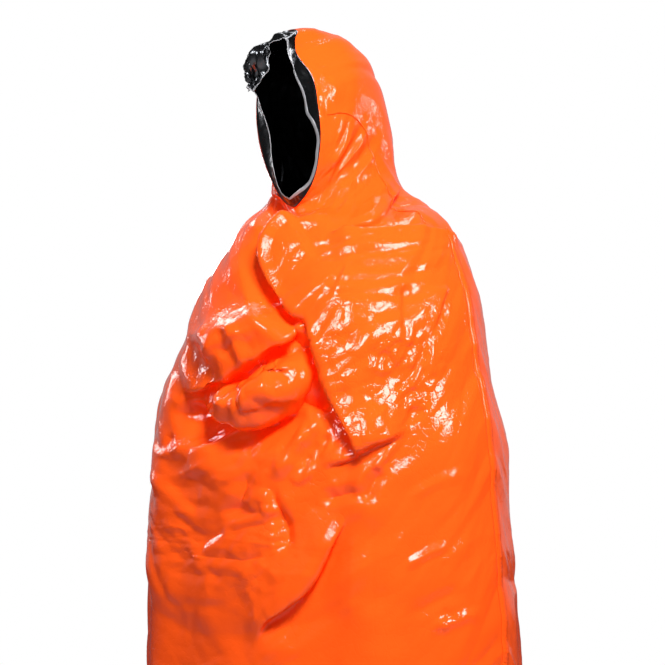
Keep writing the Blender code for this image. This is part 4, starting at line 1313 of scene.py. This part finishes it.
class BAG_OT_seams(bpy.types.Operator):
    """Makes the welded fins down both sides and the weld across the foot, with their pressed ribs"""

    bl_idname = "bag.seams"
    bl_label = "Welded seams"

    def execute(self, context):
        sizes, colours = context.scene.bag_sizes, context.scene.bag_colours
        form = film_form(sizes.crumple)
        film = orange_film_material(list(colours.film))
        rows = slice(SOLE_ROWS + 1, len(form.points) - SEAM_STOPS_BEFORE)
        for side, column in (("right", 0), ("left", FRONT_COLUMNS)):
            self.side_weld(side, form.points[rows, column], form.normal[rows, column], film)
        self.foot_weld(form.points[0, 0], form.points[0, FRONT_COLUMNS], film)
        return {"FINISHED"}

    def side_weld(self, side, root, out, material):
        """A fin that points backwards and stands a little off the film, and rolls under on the hood."""
        run = unit(np.gradient(root, axis=0))
        behind = np.cross(out, run) if side == "left" else np.cross(run, out)
        behind = unit(behind * np.sign(behind[:, 1:2] + 1e-9))
        away = unit(behind * math.cos(SEAM_STANDS) + out * math.sin(SEAM_STANDS))
        padded = np.pad(away, ((SEAM_EVENED_OVER // 2,) * 2, (0, 0)), "edge")
        share = np.ones(SEAM_EVENED_OVER) / SEAM_EVENED_OVER
        away = unit(np.stack([np.convolve(one, share, "valid") for one in padded.T], axis=1))
        width = SEAM_WIDTH + (SEAM_LEFT_ON_HOOD - SEAM_WIDTH) * eased(*SEAM_ROLLS, root[:, 2:])
        self.fin(f"{side}_side_weld", root + out * SEAM_THICKNESS, away, width, material, f"{side}_side_seam")

    def foot_weld(self, right, left, material):
        """A flat fin along the foot, from near one side to near the other."""
        root = right + np.linspace(*FOOT_WELD_ENDS, FOOT_WELD_POINTS)[:, None] * (left - right)
        root[:, 1:] = -SEAM_WIDTH / 2, SEAM_THICKNESS / 2
        away = np.tile([0.0, 1.0, 0.0], (FOOT_WELD_POINTS, 1))
        self.fin("foot_weld", root, away, np.full((FOOT_WELD_POINTS, 1), SEAM_WIDTH), material, "foot_seam")

    def fin(self, name, root, away, width, material, node):
        """A flat fin from its root line, with its ribs as far as it has its whole width."""
        side = unit(np.cross(unit(np.gradient(root, axis=0)), away)) * SEAM_THICKNESS / 2
        tip = root + away * width
        lines = np.array([root - side, tip - side, tip + side, root + side, root - side])
        whole = width[:, 0] > SEAM_WIDTH * RIBBED_FROM
        middle = (root + away * SEAM_WIDTH / 2)[whole]
        ribs = weld_ribs(middle, away[whole], SEAM_WIDTH * RIB_SHARE, material)
        add_piece(name, strip_mesh(name, lines, ribs), material, node)


def add_lamp(lamp):
    """One soft lamp, turned to the bag's chest."""
    data = bpy.data.lights.new("soft_lamp", "AREA")
    data.shape = "RECTANGLE"
    data.size, data.size_y = lamp.wide, lamp.tall
    data.energy = lamp.power
    light = add_object("soft_lamp", data)
    light.location = lamp_place(lamp)
    light.rotation_euler = (Vector(LAMPS_AIM) - Vector(lamp_place(lamp))).to_track_quat("-Z", "Y").to_euler()
    light.visible_diffuse, light.visible_glossy = lamp.lights, lamp.shines


def studio_world():
    """A white room for the camera. Reflections see it pale behind the bag and dim in front of it."""
    world = bpy.data.worlds.new("studio")
    bpy.context.scene.world = world
    world.use_nodes = True
    tree = world.node_tree
    tree.nodes.clear()
    where = add_node(tree, "ShaderNodeTexCoord")
    aim = add_node(tree, "ShaderNodeVectorMath", [(where.outputs["Generated"], 0)], operation="DOT_PRODUCT")
    aim.inputs[1].default_value = tuple(AHEAD)
    pale = add_node(
        tree, "ShaderNodeMapRange", [(aim.outputs["Value"], "Value")],
        From_Min=0.1, From_Max=0.8, To_Min=0.04, To_Max=0.34,
    )
    soft = add_node(tree, "ShaderNodeBackground", Color=WHITE, Strength=0.05)
    glossy = add_node(
        tree, "ShaderNodeBackground", [(pale.outputs["Result"], "Strength")], Color=WHITE,
    )
    white = add_node(tree, "ShaderNodeBackground", Color=WHITE, Strength=1.0)
    path = add_node(tree, "ShaderNodeLightPath")
    room = add_node(
        tree, "ShaderNodeMixShader",
        [(path.outputs["Is Glossy Ray"], 0), (soft.outputs[0], 1), (glossy.outputs[0], 2)],
    )
    seen = add_node(
        tree, "ShaderNodeMixShader",
        [(path.outputs["Is Camera Ray"], 0), (room.outputs[0], 1), (white.outputs[0], 2)],
    )
    add_node(tree, "ShaderNodeOutputWorld", [(seen.outputs[0], "Surface")])


def floor_material():
    """A pale matt floor that takes the bag's shadow, and runs out into the white of the room."""
    made, tree, shader = new_material("pale_floor", Base_Color=linear("#BEBEBE"), Roughness=0.7)
    where = add_node(tree, "ShaderNodeTexCoord")
    away = add_node(tree, "ShaderNodeVectorMath", [(where.outputs["Object"], 0)], operation="LENGTH")
    share = add_node(
        tree, "ShaderNodeMapRange", [(away.outputs["Value"], "Value")],
        From_Min=0.8, From_Max=3.5, To_Min=0.45, To_Max=1.0,
    )
    path = add_node(tree, "ShaderNodeLightPath")
    seen = add_node(
        tree, "ShaderNodeMath", [(path.outputs["Is Camera Ray"], 0), (share.outputs["Result"], 1)],
        operation="MULTIPLY",
    )
    white = add_node(tree, "ShaderNodeEmission", Color=WHITE, Strength=1.0)
    mixed = add_node(
        tree, "ShaderNodeMixShader",
        [(seen.outputs["Value"], 0), (shader.outputs["BSDF"], 1), (white.outputs["Emission"], 2)],
    )
    output = next(node for node in tree.nodes if node.type == "OUTPUT_MATERIAL")
    tree.links.new(mixed.outputs["Shader"], output.inputs["Surface"])
    return made


def add_floor():
    """A wide floor, a hair under the bag."""
    bm = bmesh.new()
    bmesh.ops.create_grid(bm, x_segments=1, y_segments=1, size=FLOOR_REACH)
    mesh = bpy.data.meshes.new("floor")
    bm.to_mesh(mesh)
    bm.free()
    mesh.materials.append(floor_material())
    floor = add_object("floor", mesh)
    floor.location.z = FLOOR_HEIGHT


def add_camera():
    """The camera, at the photograph's viewpoint."""
    lens = bpy.data.cameras.new("camera")
    lens.sensor_width = SENSOR_WIDTH
    lens.lens = SENSOR_WIDTH * VIEW_DISTANCE / VIEW_SPAN
    camera = add_object("camera", lens)
    camera.location = VIEWPOINT
    camera.rotation_euler = (math.pi / 2, 0.0, VIEW_TURN)
    bpy.context.scene.camera = camera


class BAG_OT_stage(bpy.types.Operator):
    """Makes the pale floor, the soft studio light and the camera"""

    bl_idname = "bag.stage"
    bl_label = "Stage"

    def execute(self, context):
        context.scene.view_settings.view_transform = "Standard"
        studio_world()
        add_floor()
        for lamp in LAMPS:
            add_lamp(lamp)
        add_camera()
        return {"FINISHED"}


class BAG_PT_panel(bpy.types.Panel):
    """Lists the bag's pieces, sizes and colours"""

    bl_idname = "BAG_PT_panel"
    bl_label = "Survival Bag"
    bl_space_type = "VIEW_3D"
    bl_region_type = "UI"
    bl_category = "Survival Bag"

    def draw(self, context):
        for group in (context.scene.bag_sizes, context.scene.bag_colours):
            box = self.layout.box()
            for name in group.__annotations__:
                box.prop(group, name)
        for operator in OPERATORS:
            self.layout.operator(operator.bl_idname)


OPERATORS = (BAG_OT_stage, BAG_OT_film_panels, BAG_OT_linings, BAG_OT_seams)
CLASSES = (BagSizes, BagColours, *OPERATORS, BAG_PT_panel)


def register():
    for cls in CLASSES:
        bpy.utils.register_class(cls)
    bpy.types.Scene.bag_sizes = bpy.props.PointerProperty(type=BagSizes)
    bpy.types.Scene.bag_colours = bpy.props.PointerProperty(type=BagColours)


def unregister():
    del bpy.types.Scene.bag_colours
    del bpy.types.Scene.bag_sizes
    for cls in reversed(CLASSES):
        bpy.utils.unregister_class(cls)


def main():
    register()
    bpy.ops.bag.stage()
    bpy.ops.bag.film_panels()
    bpy.ops.bag.linings()
    bpy.ops.bag.seams()


if __name__ == "__main__":
    main()
